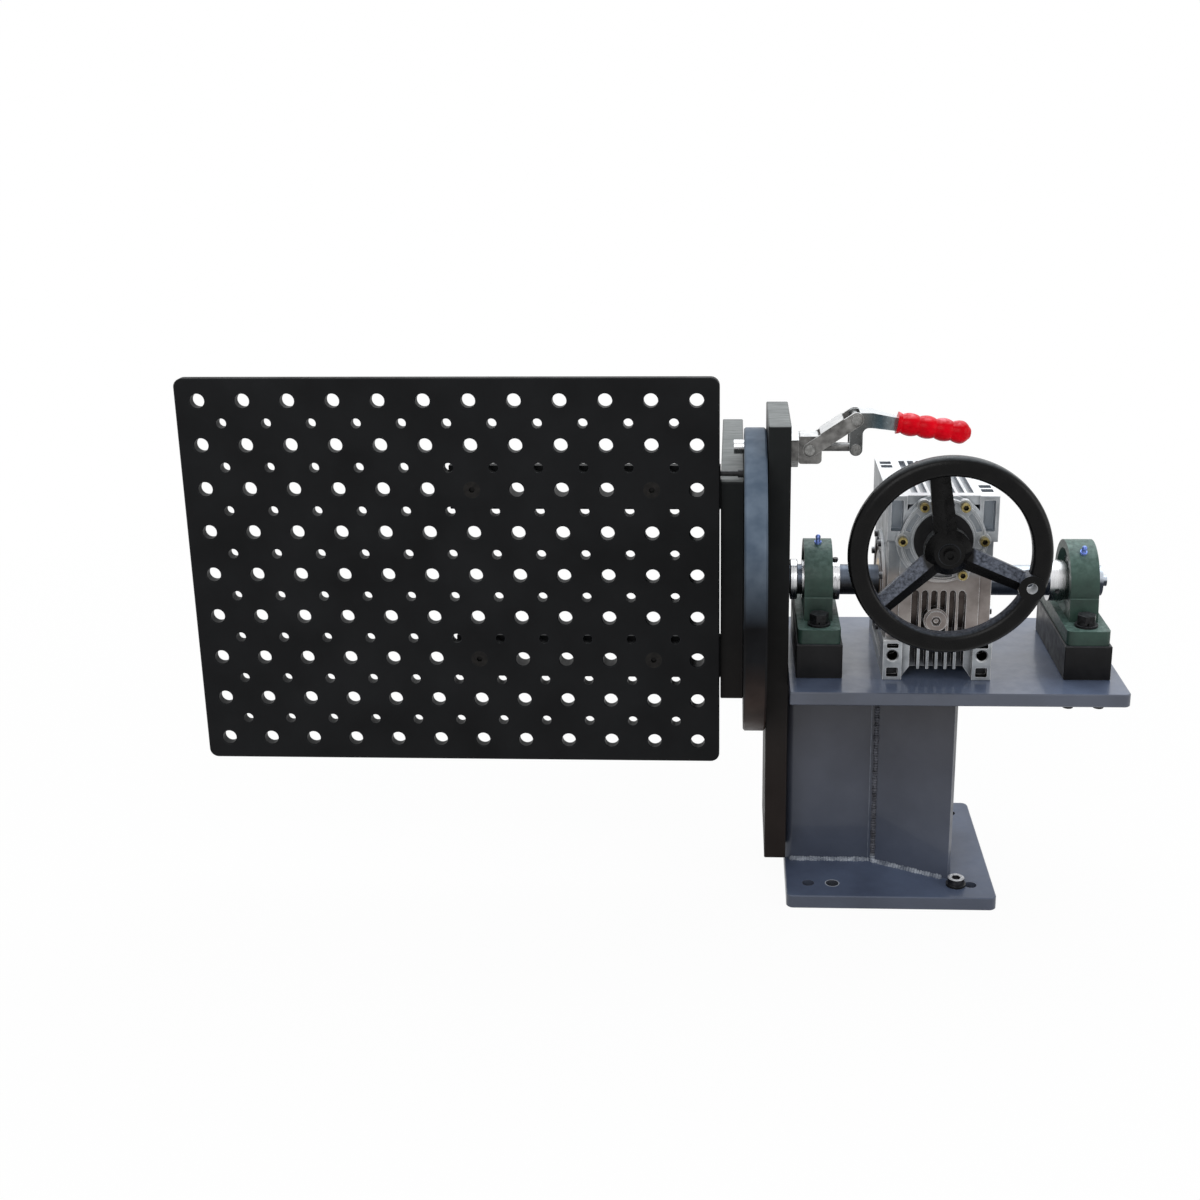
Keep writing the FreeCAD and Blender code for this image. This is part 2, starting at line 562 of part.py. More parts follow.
DISC_SCREW_R, DISC_SCREW_DEEP = 6.0, 18.0
DISC_SCREW_Y, DISC_SCREW_DZ = (-28.0, 92.0), 82.0
DISC_SCREWS = [(y, SHAFT_Z + dz) for y in DISC_SCREW_Y for dz in (-DISC_SCREW_DZ, DISC_SCREW_DZ)]


def faceplate_disc():
    disc = softened("yz", rod("yz", 0, SHAFT_Z, DISC_X0, DISC_X1, DISC_R), DISC_X0, DISC_X1, DISC_CHAMFER)
    tools = [rod("yz", 0, SHAFT_Z, DISC_X0, DISC_X1, SHAFT_R), key_block(*DISC_KEY)]
    for i in range(4):
        t = math.radians(90 * i)
        y, z = INDEX_HOLE_RADIUS * math.sin(t), SHAFT_Z + INDEX_HOLE_RADIUS * math.cos(t)
        tools.append(rod("yz", y, z, DISC_X0, DISC_X1, INDEX_HOLE_R))
    for y, z in DISC_SCREWS:
        tools.append(rod("yz", y, z, DISC_X0, DISC_X1, DISC_SCREW_R))
        tools.append(rod("yz", y, z, DISC_X1 - 2 * DISC_SCREW_R - HEAD_ROOM, DISC_X1, 1.6 * DISC_SCREW_R))
    return cut_all(disc, tools)


def index_bush():
    z = SHAFT_Z + INDEX_HOLE_RADIUS
    return ring("yz", 0, z, DISC_X0 - BUSH_PROUD, DISC_X1, INDEX_HOLE_R, BUSH_BORE_R)


def disc_screws():
    seat = DISC_X1 - 2 * DISC_SCREW_R - HEAD_ROOM
    return Part.makeCompound([cap_screw("yz", y, z, seat, 1, DISC_SCREW_R, seat - DISC_X0 + DISC_SCREW_DEEP)
                              for y, z in DISC_SCREWS])


ARM_SCREW_R, ARM_SCREW_RISE, ARM_SCREW_DEEP = 3.0, 15.0, 20.0


def arm_screw_places():
    return [(ARM_Y0 + ARM_T / 2, z + dz) for z in ARM_ZS for dz in (-ARM_SCREW_RISE, ARM_SCREW_RISE)]


def side_plate():
    z0 = SHAFT_Z - SIDE_H / 2
    plate = prism("yz", rect(SIDE_Y0, SIDE_Y0 + SIDE_D, z0, z0 + SIDE_H, 4), SIDE_X0, SIDE_X1)
    plate = softened("yz", plate, SIDE_X0, SIDE_X1)
    tools = [rod("yz", y, z, SIDE_X1 - DISC_SCREW_DEEP, SIDE_X1, DISC_SCREW_R) for y, z in DISC_SCREWS]
    for y, z in arm_screw_places():
        tools.append(rod("yz", y, z, SIDE_X0, SIDE_X1, ARM_SCREW_R))
        seat = SIDE_X1 - 2 * ARM_SCREW_R - HEAD_ROOM
        tools.append(rod("yz", y, z, seat, SIDE_X1, 1.5 * ARM_SCREW_R + 0.1))
    return cut_all(plate, tools)


def arm_screws():
    seat = SIDE_X1 - 2 * ARM_SCREW_R - HEAD_ROOM
    return Part.makeCompound([cap_screw("yz", y, z, seat, 1, ARM_SCREW_R, seat - SIDE_X0 + ARM_SCREW_DEEP)
                              for y, z in arm_screw_places()])


TABLE_BOLT_COLUMNS = (ARM_HOLES - 1, 1)     # counted from the side plate


def column_x(column):
    """Where a column of the table's grid lies, counted from the side plate."""
    return TABLE_X + GRID * ((GRID_COLS - 1) / 2 - column)


def arm(z):
    x0 = SIDE_X0 - ARM_L
    bar = prism("xz", rect(x0, SIDE_X0, z - ARM_H / 2, z + ARM_H / 2, 1), ARM_Y0, ARM_Y0 + ARM_T)
    tools = []
    for column in reversed(range(ARM_HOLES)):
        radius = TABLE_BOLT_R if column in TABLE_BOLT_COLUMNS else GRID_HOLE_R
        tools.append(rod("xz", column_x(column), z, ARM_Y0, ARM_Y0 + ARM_T, radius))
    tools += [rod("yz", y, sz, SIDE_X0 - ARM_SCREW_DEEP, SIDE_X0, ARM_SCREW_R)
              for y, sz in arm_screw_places() if abs(sz - z) < ARM_H / 2]
    return cut_all(bar, tools)


def table_bolt_places():
    return [(column_x(column), z) for column in TABLE_BOLT_COLUMNS for z in ARM_ZS]


def countersink(x, z):
    return cone("xz", x, z, TABLE_Y0, TABLE_Y0 + TABLE_BOLT_HEAD_H, TABLE_BOLT_HEAD_R, TABLE_BOLT_R)


def table_plate():
    x0, z0 = TABLE_X - TABLE_L / 2, TABLE_Z - TABLE_H / 2
    plate = prism("xz", rect(x0, x0 + TABLE_L, z0, z0 + TABLE_H, TABLE_R), TABLE_Y0, TABLE_Y1)
    plate = softened("xz", plate, TABLE_Y0, TABLE_Y1)
    tools = []
    for i in range(GRID_COLS):
        for j in range(GRID_ROWS):
            x = TABLE_X + GRID * (i - (GRID_COLS - 1) / 2)
            z = TABLE_Z + GRID * (j - (GRID_ROWS - 1) / 2)
            if (x, z) in table_bolt_places():
                tools += [rod("xz", x, z, TABLE_Y0, TABLE_Y1, TABLE_BOLT_R), countersink(x, z)]
            else:
                tools.append(rod("xz", x, z, TABLE_Y0, TABLE_Y1, GRID_HOLE_R))
                tools.append(cone("xz", x, z, TABLE_Y0, TABLE_Y0 + HOLE_EDGE,
                                  GRID_HOLE_R + HOLE_EDGE, GRID_HOLE_R))
    for i in range(GRID_COLS - 1):
        for j in range(GRID_ROWS - 1):
            x = TABLE_X + GRID * (i - (GRID_COLS - 2) / 2)
            z = TABLE_Z + GRID * (j - (GRID_ROWS - 2) / 2)
            tools.append(rod("xz", x, z, TABLE_Y0, TABLE_Y1, MID_HOLE_R))
    return cut_all(plate, tools)


def table_bolts():
    bolts = []
    for x, z in table_bolt_places():
        head = countersink(x, z).cut(hexagon("xz", x, z, TABLE_Y0, TABLE_Y0 + 3.0, 6.0))
        bolts.append(head.fuse(rod("xz", x, z, TABLE_Y0 + TABLE_BOLT_HEAD_H, ARM_Y0 + ARM_T, TABLE_BOLT_R)))
    return Part.makeCompound(bolts)


# ---- gearbox ----

COVER_T, COVER_LIP, COVER_BEARING_R = 8.0, 12.0, 36.0
PANEL_Z0, PANEL_Z1, PANEL_Y = 368.0, 388.0, -82.0
PANEL_HALF, WALL_OUT = 30.0, 44.0
FIN_BOTTOM, CASE_BOTTOM = 11.0, 8.0
FLOOR_TOP_Y, FLOOR_FOOT_Y, FLOOR_Z0 = -75.0, -65.0, 322.0
PLUG_X, PLUG_Z, PLUG_R, PLUG_BOSS_R, PLUG_SHANK_R = 42.0, 337.0, 11.5, 13.5, 8.5
FOOT_HOLE_R, FOOT_HOLE_UP, FOOT_HOLE_EDGE = 6.0, 29.0, 1.5
RAIL_Z0, TOP_T, POCKET_HALF = 429.0, 10.0, 6.5
INNER_Y = -50.0


def case_front():
    """The closed case, the worm barrel and the body that holds the wheel, in front of y = 0."""
    low, half = SHELF_TOP + CASE_BOTTOM, CASE_W / 2
    wheel_body = rod("yz", 0, SHAFT_Z, GEAR_X - half + 14, GEAR_X + half - 14, CASE_R)
    return [prism("xz", rect(GEAR_X - half, GEAR_X + half, low, GEAR_TOP, 4), -CASE_L / 2, 0),
            rod("xz", GEAR_X, WORM_Z, GEAR_Y0, 0, BARREL_R),
            wheel_body.common(block(GEAR_X - GEAR_W, GEAR_X + GEAR_W, -CASE_R, 0, low, GEAR_TOP)),
            block(GEAR_X0 + 3, GEAR_X1 - 3, GEAR_Y0 + 2, 0, GEAR_TOP - TOP_T, GEAR_TOP)]


def rails_and_feet():
    """At each side: a foot, a rail beside the worm barrel and the walls between them."""
    z0, parts = SHELF_TOP, []
    for side in (-1, 1):
        outer = GEAR_X + side * GEAR_W / 2
        x0, x1 = sorted((outer, outer - side * GEAR_FOOT_W))
        foot = [(GEAR_Y0, z0, 1), (0, z0, 0), (0, z0 + 14, 0), (GEAR_Y0 + GEAR_FOOT_D, z0 + 14, 4),
                (GEAR_Y0 + GEAR_FOOT_D, z0 + GEAR_FOOT_H, 0), (GEAR_Y0, z0 + GEAR_FOOT_H, 2)]
        rail = [(GEAR_Y0, GEAR_TOP, 1), (0, GEAR_TOP, 0), (0, RAIL_Z0, 0), (GEAR_Y0, RAIL_Z0, 2)]
        parts += [prism("yz", foot, x0, x1), prism("yz", rail, x0, x1)]
        x0, x1 = sorted((outer - side * 3, GEAR_X + side * WALL_OUT))
        parts.append(block(x0, x1, PANEL_Y + 2, 0, z0 + GEAR_FOOT_H, RAIL_Z0 + 1))
        a, b = GEAR_X + side * PANEL_HALF, GEAR_X + side * WALL_OUT
        wall = [(a, z0 + 14, 0), (a + side * 9, z0 + 1, 0), (b, z0 + 1, 0), (b, RAIL_Z0, 0), (a, RAIL_Z0, 0)]
        parts.append(prism("xz", wall, PANEL_Y, INNER_Y))
    return parts


def ribbed_panel():
    """Upright fins that rise out of a falling floor and end in a plain panel under the flange."""
    x0, x1 = GEAR_X - PANEL_HALF, GEAR_X + PANEL_HALF
    floor = [(FLOOR_TOP_Y, PANEL_Z0, 0), (INNER_Y, PANEL_Z0, 0),
             (INNER_Y, FLOOR_Z0, 0), (FLOOR_FOOT_Y, FLOOR_Z0, 0)]
    gap = (FIN_PITCH - FIN_T) / 2
    arches = [rod("xz", GEAR_X + FIN_PITCH * (i + 0.5), PANEL_Z0, PANEL_Y, FLOOR_TOP_Y, gap)
              for i in range(-3, 3)]
    parts = [block(x0, x1, PANEL_Y, INNER_Y, PANEL_Z0, PANEL_Z1).cut(Part.makeCompound(arches)),
             prism("yz", floor, x0, x1)]
    for i in range(-2, 3):
        x = GEAR_X + FIN_PITCH * i
        parts.append(block(x - FIN_T / 2, x + FIN_T / 2, PANEL_Y, INNER_Y, SHELF_TOP + FIN_BOTTOM, PANEL_Z1))
    return parts


def gearbox_pockets():
    """Cored pockets and screw holes of the feet and rails, and the slots between the top fins."""
    z0, tools = SHELF_TOP, []
    for side in (-1, 1):
        x = GEAR_X + side * (GEAR_W - GEAR_FOOT_W) / 2
        a, b = x - POCKET_HALF, x + POCKET_HALF
        hole_z, mouth = z0 + FOOT_HOLE_UP, FOOT_HOLE_R + FOOT_HOLE_EDGE
        tools.append(rod("xz", x, hole_z, GEAR_Y0, GEAR_Y0 + GEAR_FOOT_D - 12, FOOT_HOLE_R))
        tools.append(cone("xz", x, hole_z, GEAR_Y0, GEAR_Y0 + FOOT_HOLE_EDGE, mouth, FOOT_HOLE_R))
        tools.append(prism("xz", rect(a, b, z0 + 4, z0 + 15, 1.5), GEAR_Y0, GEAR_Y0 + 10))
        tools.append(prism("xz", rect(a, b, z0 + 38, z0 + 43.5, 1.5), GEAR_Y0, GEAR_Y0 + 9))
        tools.append(prism("xz", rect(a, b, WORM_Z + 8, GEAR_TOP - 5, 1.5), GEAR_Y0, GEAR_Y0 + 14))
        for y in (GEAR_Y0 + 17, GEAR_Y0 + 35):
            tools.append(prism("xy", rect(a, b, y, y + 13, 1.5), GEAR_TOP - 7, GEAR_TOP))
    for i in range(-3, 4):
        x, half = GEAR_X + FIN_PITCH * i, (FIN_PITCH - FIN_T) / 2
        tools.append(block(x - half, x + half, GEAR_Y0 + 14, 0, GEAR_TOP - 5, GEAR_TOP))
    return tools


def gearbox_housing():
    """One casting: the rear half mirrors the front one."""
    front = fuse_all(case_front() + rails_and_feet() + ribbed_panel())
    above = block(GEAR_X - GEAR_W, GEAR_X + GEAR_W, 2 * GEAR_Y0, 1, GEAR_TOP, GEAR_TOP + BARREL_R)
    front = cut_all(front, gearbox_pockets() + [above])
    solid = front.fuse(mirrored_y(front)).removeSplitter()
    solid = solid.fuse(rod("xz", PLUG_X, PLUG_Z, PANEL_Y - 1, INNER_Y, PLUG_BOSS_R))
    tools = [rod("yz", 0, SHAFT_Z, GEAR_X0 - 1, GEAR_X1 + 1, CAVITY_R),
             rod("xz", GEAR_X, WORM_Z, GEAR_Y0, GEAR_Y1, WORM_BORE_R),
             rod("xz", PLUG_X, PLUG_Z, PANEL_Y - 1, PANEL_Y + 7, PLUG_SHANK_R)]
    tools += [rod("xy", x, y, SHELF_TOP, SHELF_TOP + GEAR_BOLT_DEEP, GEAR_BOLT_R)
              for x, y in gear_bolt_places()]
    tools += [rod("xz", x, z, GEAR_Y0, GEAR_Y0 + FLANGE_SCREW_DEEP, FLANGE_SCREW_R)
              for x, z in flange_screws()]
    return cut_all(solid, tools)


COVER_SCREW_R, COVER_SCREWS, COVER_SCREW_IN, COVER_DISH = 2.5, 8, 4.0, 3.0


def cover_screw_places():
    r, turn = CAVITY_R - COVER_SCREW_IN, 2 * math.pi / COVER_SCREWS
    return [(r * math.sin(turn * (i + 0.5)), SHAFT_Z + r * math.cos(turn * (i + 0.5)))
            for i in range(COVER_SCREWS)]


def output_cover(side):
    """Closes the wheel's bore and carries its bearing; side is -1 on the left, 1 on the right."""
    face = GEAR_X + side * GEAR_W / 2
    step = face - side * COVER_T
    back = step - side * COVER_LIP

    def disc(a, b, r, y=0.0, z=SHAFT_Z):
        return rod("yz", y, z, min(a, b), max(a, b), r)
    dish = face - side * COVER_DISH
    tools = [disc(face, step, HUB_R + RUN), disc(step, back, COVER_BEARING_R),
             disc(face, dish, CAVITY_R - 2 * COVER_SCREW_IN).cut(disc(face, dish, COVER_BEARING_R - 2))]
    tools += [disc(face, step, COVER_SCREW_R, y, z) for y, z in cover_screw_places()]
    return cut_all(disc(face, back, CAVITY_R), tools)


def output_cover_screws():
    return Part.makeCompound([
        cap_screw("yz", y, z, GEAR_X + side * GEAR_W / 2, side, COVER_SCREW_R, COVER_T - 1, 4.0, 3.5)
        for side in (-1, 1) for y, z in cover_screw_places()])


WORM_BEARING = (56.0, 72.0)


def gearbox_bearings():
    rings = []
    for side in (-1, 1):
        step = GEAR_X + side * (GEAR_W / 2 - COVER_T)
        back = step - side * COVER_LIP
        rings.append(ring("yz", 0, SHAFT_Z, min(step, back), max(step, back), COVER_BEARING_R, HUB_R + RUN))
        y0, y1 = sorted((side * WORM_BEARING[0], side * WORM_BEARING[1]))
        rings.append(ring("xz", GEAR_X, WORM_Z, y0, y1, WORM_BORE_R, WORM_SHAFT_R + RUN))
    return Part.makeCompound(rings)


FLANGE_SCREW_R, FLANGE_SCREW_DEEP, LOBE_R = 3.4, 14.0, 7.5


def flange_screws():
    return [(GEAR_X + FLANGE_PCR * math.cos(math.radians(60 * i)),
             WORM_Z + FLANGE_PCR * math.sin(math.radians(60 * i))) for i in range(6)]


def input_flange():
    parts = [rod("xz", GEAR_X, WORM_Z, FLANGE_Y, GEAR_Y0, FLANGE_R)]
    parts += [rod("xz", x, z, FLANGE_Y, GEAR_Y0, LOBE_R) for x, z in flange_screws()]
    solid = fuse_all(parts)
    tools = [rod("xz", GEAR_X, WORM_Z, FLANGE_Y, GEAR_Y0, WORM_SHAFT_R + FREE)]
    tools += [rod("xz", x, z, FLANGE_Y, GEAR_Y0, FLANGE_SCREW_R) for x, z in flange_screws()]
    face = ring("xz", GEAR_X, WORM_Z, FLANGE_Y, FLANGE_Y + FLANGE_FACE_IN, FLANGE_R - FLANGE_RIM, SEAL_R + 2)
    bosses = [rod("xz", x, z, FLANGE_Y, GEAR_Y0, LOBE_R - 1) for x, z in flange_screws()]
    tools.append(cut_all(face, bosses))
    for i in range(6):
        tools.append(arc_slot(60 * i + 14, 60 * i + 46, 36.5, 42.5, FLANGE_Y, FLANGE_Y + 5))
    return cut_all(solid, tools)


def arc_slot(t0, t1, r0, r1, y0, y1):
    """A curved pocket about the worm axis between two angles, in degrees."""
    def at(r, t):
        return V(GEAR_X + r * math.cos(math.radians(t)), y0, WORM_Z + r * math.sin(math.radians(t)))
    tm = (t0 + t1) / 2
    edges = [Part.Arc(at(r1, t0), at(r1, tm), at(r1, t1)).toShape(), Part.makeLine(at(r1, t1), at(r0, t1)),
             Part.Arc(at(r0, t1), at(r0, tm), at(r0, t0)).toShape(), Part.makeLine(at(r0, t0), at(r1, t0))]
    return Part.Face(Part.Wire(edges)).extrude(V(0, y1 - y0, 0))


def input_flange_screws():
    length = FLANGE_T + FLANGE_SCREW_DEEP - 1
    return Part.makeCompound([cap_screw("xz", x, z, FLANGE_Y, -1, FLANGE_SCREW_R, length)
                              for x, z in flange_screws()])


def input_seal():
    return ring("xz", GEAR_X, WORM_Z, FLANGE_Y - SEAL_T, FLANGE_Y, SEAL_R, WORM_SHAFT_R + RUN)


def rear_cap():
    cap = rod("xz", GEAR_X, WORM_Z, GEAR_Y1, GEAR_Y1 + 3, WORM_BORE_R + 5)
    return cap.fuse(rod("xz", GEAR_X, WORM_Z, GEAR_Y1 - 8, GEAR_Y1, WORM_BORE_R))


def level_plug():
    y = PANEL_Y - 1
    plug = rod("xz", PLUG_X, PLUG_Z, y - 4, y, PLUG_R)
    plug = plug.fuse(rod("xz", PLUG_X, PLUG_Z, y, y + 7, PLUG_SHANK_R))
    socket = hexagon("xz", PLUG_X, PLUG_Z, y - 4, y - 0.5, PLUG_R - 1.5)
    return plug.cut(socket.cut(rod("xz", PLUG_X, PLUG_Z, y - 2.5, y, 2.5)))


def gearbox_bolts():
    length = SHELF_T + GEAR_BOLT_DEEP - 1
    return Part.makeCompound([hex_screw("xy", x, y, COLUMN_TOP, -1, GEAR_BOLT_R, length,
                                        GEAR_BOLT_HEAD_AF, GEAR_BOLT_HEAD_H) for x, y in gear_bolt_places()])


def worm_wheel():
    hub = rod("yz", 0, SHAFT_Z, GEAR_X0, GEAR_X1, HUB_R)
    wheel = rod("yz", 0, SHAFT_Z, GEAR_X - WHEEL_W / 2, GEAR_X + WHEEL_W / 2, WHEEL_R)
    solid = hub.fuse(wheel).cut(rod("yz", 0, SHAFT_Z, GEAR_X0, GEAR_X1, SHAFT_R))
    return solid.cut(key_block(*GEAR_KEY))


def worm_shaft():
    parts = [rod("xz", GEAR_X, WORM_Z, -WORM_L / 2, WORM_L / 2, WORM_R),
             rod("xz", GEAR_X, WORM_Z, HUB_Y0, WORM_BEARING[1], WORM_SHAFT_R)]
    return fuse_all(parts).cut(handwheel_key_block()).cut(wheel_screw_shank())


# ---- handwheel ----

WHEEL_KEY = 6.0
WHEEL_SCREW_R, WHEEL_SCREW_DEEP, WHEEL_WASHER_R, WHEEL_WASHER_T = 4.0, 14.0, 11.0, 2.5


def handwheel_key_block():
    top = WORM_Z + WORM_SHAFT_R + WHEEL_KEY / 2
    return block(GEAR_X - WHEEL_KEY / 2, GEAR_X + WHEEL_KEY / 2, HUB_Y0 + 4, HUB_Y1, top - WHEEL_KEY, top)


def wheel_screw_shank():
    return rod("xz", GEAR_X, WORM_Z, HUB_Y0, HUB_Y0 + WHEEL_SCREW_DEEP, WHEEL_SCREW_R)


def spoke(angle):
    """A ridged spoke: flat at the back, roof-shaped in front; the hub lies behind the rim."""
    def section(r, wide, y):
        w, back, shoulder, ridge = wide / 2, y + SPOKE_DEEP / 2, y + 1.5, y - SPOKE_DEEP / 2
        pts = [(-w, back), (w, back), (w, shoulder), (0, ridge), (-w, shoulder)]
        corners = [V(r, y, a) for a, y in pts]
        return Part.makePolygon(corners + corners[:1])
    body = Part.makeLoft([section(HUB_BOSS_R - 8, SPOKE_W + 2, WHEEL_Y + DISH),
                          section(RIM_R - RIM_WIDE + 3, SPOKE_W - 2, WHEEL_Y)], True, True)
    body.rotate(V(0, 0, 0), V(0, 1, 0), -angle)
    body.translate(V(GEAR_X, 0, WORM_Z))
    return body


def rim():
    r0, r1, y0, y1 = RIM_R - RIM_WIDE, RIM_R, WHEEL_Y - RIM_DEEP / 2, WHEEL_Y + RIM_DEEP / 2
    corners = [(GEAR_X + r0, y0, 7), (GEAR_X + r1, y0, 8), (GEAR_X + r1, y1, 8), (GEAR_X + r0, y1, 7)]
    face = Part.Face(outline("xy", corners, WORM_Z))
    return face.revolve(V(GEAR_X, 0, WORM_Z), V(0, 1, 0), 360)


def handwheel():
    parts = [rim(), rod("xz", GEAR_X, WORM_Z, HUB_Y0 + HUB_NOSE_L, HUB_Y1, HUB_BOSS_R),
             cone("xz", GEAR_X, WORM_Z, HUB_Y0, HUB_Y0 + HUB_NOSE_L, HUB_NOSE_R, HUB_BOSS_R)]
    parts += [spoke(a) for a in SPOKE_ANGLES]
    t = math.radians(SPOKE_ANGLES[2])
    r = RIM_R - GRIP_BOSS_IN
    bx, bz = GEAR_X + r * math.cos(t), WORM_Z + r * math.sin(t)
    parts.append(rod("xz", bx, bz, WHEEL_Y - RIM_DEEP / 2 - 1, WHEEL_Y + RIM_DEEP / 2, GRIP_BOSS_R))
    solid = fuse_all(parts)
    tools = [rod("xz", GEAR_X, WORM_Z, HUB_Y0, HUB_Y1, WORM_SHAFT_R), handwheel_key_block(),
             rod("xz", bx, bz, WHEEL_Y - RIM_DEEP, WHEEL_Y + RIM_DEEP, GRIP_HOLE_R)]
    return cut_all(solid, tools)


def handwheel_key():
    return handwheel_key_block()


def handwheel_screw():
    seat = HUB_Y0 - WHEEL_WASHER_T
    washer = rod("xz", GEAR_X, WORM_Z, seat, HUB_Y0, WHEEL_WASHER_R).fuse(wheel_screw_shank())
    return washer.fuse(cap_screw("xz", GEAR_X, WORM_Z, seat, -1, WHEEL_SCREW_R, WHEEL_WASHER_T, 6.5, 5.5))


# ---- toggle clamp ----

PIN_R, PIN_HEAD_R, PIN_HEAD_H, PIN_IN = 4.0, 6.0, 2.0, 7.0
LINK_IN = CLAMP_HALF + LINK_GAP
LINK_OUT = LINK_IN + LINK_T
EAR_OUT = CLAMP_HALF - LINK_GAP
EAR_IN = EAR_OUT - HANDLE_T
EYE_HALF = EAR_IN - 0.4
LINK_ANGLE = math.degrees(math.atan2(PIVOT_H[1] - PIVOT_B[1], PIVOT_H[0] - PIVOT_B[0]))
LINK_L = math.hypot(PIVOT_H[1] - PIVOT_B[1], PIVOT_H[0] - PIVOT_B[0])


def clamp_body():
    x1 = CLAMP_X0 + CLAMP_L
    body = prism("xz", [(CLAMP_X0, CLAMP_Z - CLAMP_LOW, 3), (x1, CLAMP_Z - CLAMP_LOW, 5),
                        (x1, CLAMP_Z + CLAMP_HALF - 4, 3), (x1 - 4, CLAMP_Z + CLAMP_HALF, 1),
                        (CLAMP_X0, CLAMP_Z + CLAMP_HALF, 3)], -CLAMP_HALF, CLAMP_HALF)
    body = body.fuse(rod("yz", 0, CLAMP_Z, INDEX_X0, CLAMP_X0, NOSE_R))
    tools = [rod("yz", 0, CLAMP_Z, INDEX_X0, x1, PLUNGER_R + RUN)]
    tools += [rod("xz", *PIVOT_B, *sorted((s * PIN_IN, s * CLAMP_HALF)), PIN_R) for s in (-1, 1)]
    return cut_all(body, tools)


def clamp_nut():
    nut = hexagon("yz", 0, CLAMP_Z, CLAMP_X0 - NUT_T, CLAMP_X0, NUT_AF, 90)
    return nut.cut(rod("yz", 0, CLAMP_Z, CLAMP_X0 - NUT_T, CLAMP_X0, NOSE_R))


def clamp_pivot_pins():
    pins = []
    for s in (-1, 1):
        head = LINK_OUT + FREE
        stem = rod("xz", *PIVOT_B, *sorted((s * PIN_IN, s * head)), PIN_R)
        cap = rod("xz", *PIVOT_B, *sorted((s * head, s * (head + PIN_HEAD_H))), PIN_HEAD_R)
        pins.append(stem.fuse(cap))
    return Part.makeCompound(pins)


def along_link(shape):
    """Moves a shape drawn along +X from the origin onto the line from pivot B to pivot H."""
    shape.rotate(V(0, 0, 0), V(0, 1, 0), -LINK_ANGLE)
    shape.translate(V(PIVOT_B[0], 0, PIVOT_B[1]))
    return shape


BRIDGE, BRIDGE_UP = (20.0, 50.0), 1.0


def clamp_link():
    """Two side bars joined by a bridge over their upper edges."""
    parts = []
    for s in (-1, 1):
        y0, y1 = sorted((s * LINK_IN, s * LINK_OUT))
        parts += [rod("xz", 0, 0, y0, y1, LINK_R), rod("xz", LINK_L, 0, y0, y1, LINK_R),
                  prism("xz", rect(0, LINK_L, -LINK_R, LINK_R), y0, y1)]
    parts.append(block(*BRIDGE, -LINK_OUT, LINK_OUT, LINK_R + BRIDGE_UP - LINK_T, LINK_R + BRIDGE_UP))
    solid = fuse_all(parts)
    tools = [rod("xz", 0, 0, -LINK_OUT, LINK_OUT, PIN_R + RUN),
             rod("xz", LINK_L, 0, -LINK_OUT, LINK_OUT, PIN_R)]
    return along_link(cut_all(solid, tools))


def link_rivet():
    x, z = PIVOT_H
    parts = [rod("xz", x, z, -LINK_OUT, LINK_OUT, PIN_R)]
    for s in (-1, 1):
        a, b = s * LINK_OUT, s * (LINK_OUT + PIN_HEAD_H)
        parts.append(rod("xz", x, z, min(a, b), max(a, b), PIN_HEAD_R))
    return fuse_all(parts)


ARM_START, ARM_END = CLAMP_P_X + 17.5, 2.0
ARM_TIP_Z = CLAMP_Z + 26.5
ARM_HIGH_START, ARM_HIGH_END = 17.0, 15.0
TANG_HALF = 5.0


def handle_arm():
    """The lever's channel, which narrows from the ears to a tang that fills the grip."""
    z_start = PIVOT_H[1] - 1.5
    def section(x, z, half_y, high):
        pts = [V(x, -half_y, z - high / 2), V(x, half_y, z - high / 2),
               V(x, half_y, z + high / 2), V(x, -half_y, z + high / 2)]
        return Part.makePolygon(pts + pts[:1])
    outer = Part.makeLoft([section(ARM_START, z_start, EAR_OUT, ARM_HIGH_START),
                           section(ARM_END, ARM_TIP_Z, TANG_HALF + 1, ARM_HIGH_END)], True, True)
    inner = Part.makeLoft([section(ARM_START, z_start - HANDLE_T, EAR_IN, ARM_HIGH_START),
                           section(ARM_END - 6, ARM_TIP_Z - HANDLE_T, TANG_HALF - 2, ARM_HIGH_END)],
                          True, True)
    return outer.cut(inner)


def handle_tang():
    tang = block(0, 0.7 * GRIP_L, -TANG_HALF, TANG_HALF, -6.0, 6.0)
    tang.rotate(V(0, 0, 0), V(0, 1, 0), GRIP_DROP)
    tang.translate(V(ARM_END, 0, ARM_TIP_Z))
    return tang


def clamp_handle():
    hx, hz = PIVOT_H
    px, pz = PIVOT_P
    r = HANDLE_R
    top = hz - 1.5 + ARM_HIGH_START / 2
    low = hz - 1.5 - ARM_HIGH_START / 2
    ear = [(px - r, pz - r, r - 0.1), (px + r, pz - r, r - 0.1), (px + r, low, 7), (ARM_START, low, 0),
           (ARM_START, top, 0), (hx - r, top, 6)]
    parts = [handle_arm(), handle_tang()]
    for s in (-1, 1):
        y0, y1 = sorted((s * EAR_IN, s * EAR_OUT))
        parts.append(prism("xz", ear, y0, y1))
    parts.append(block(hx + 4, ARM_START, -EAR_IN, EAR_IN, top - HANDLE_T, top))
    solid = fuse_all(parts)
    tools = [rod("xz", hx, hz, -EAR_OUT, EAR_OUT, PIN_R + RUN), rod("xz", px, pz, -EAR_OUT, EAR_OUT, PIN_R)]
    return cut_all(solid, tools)


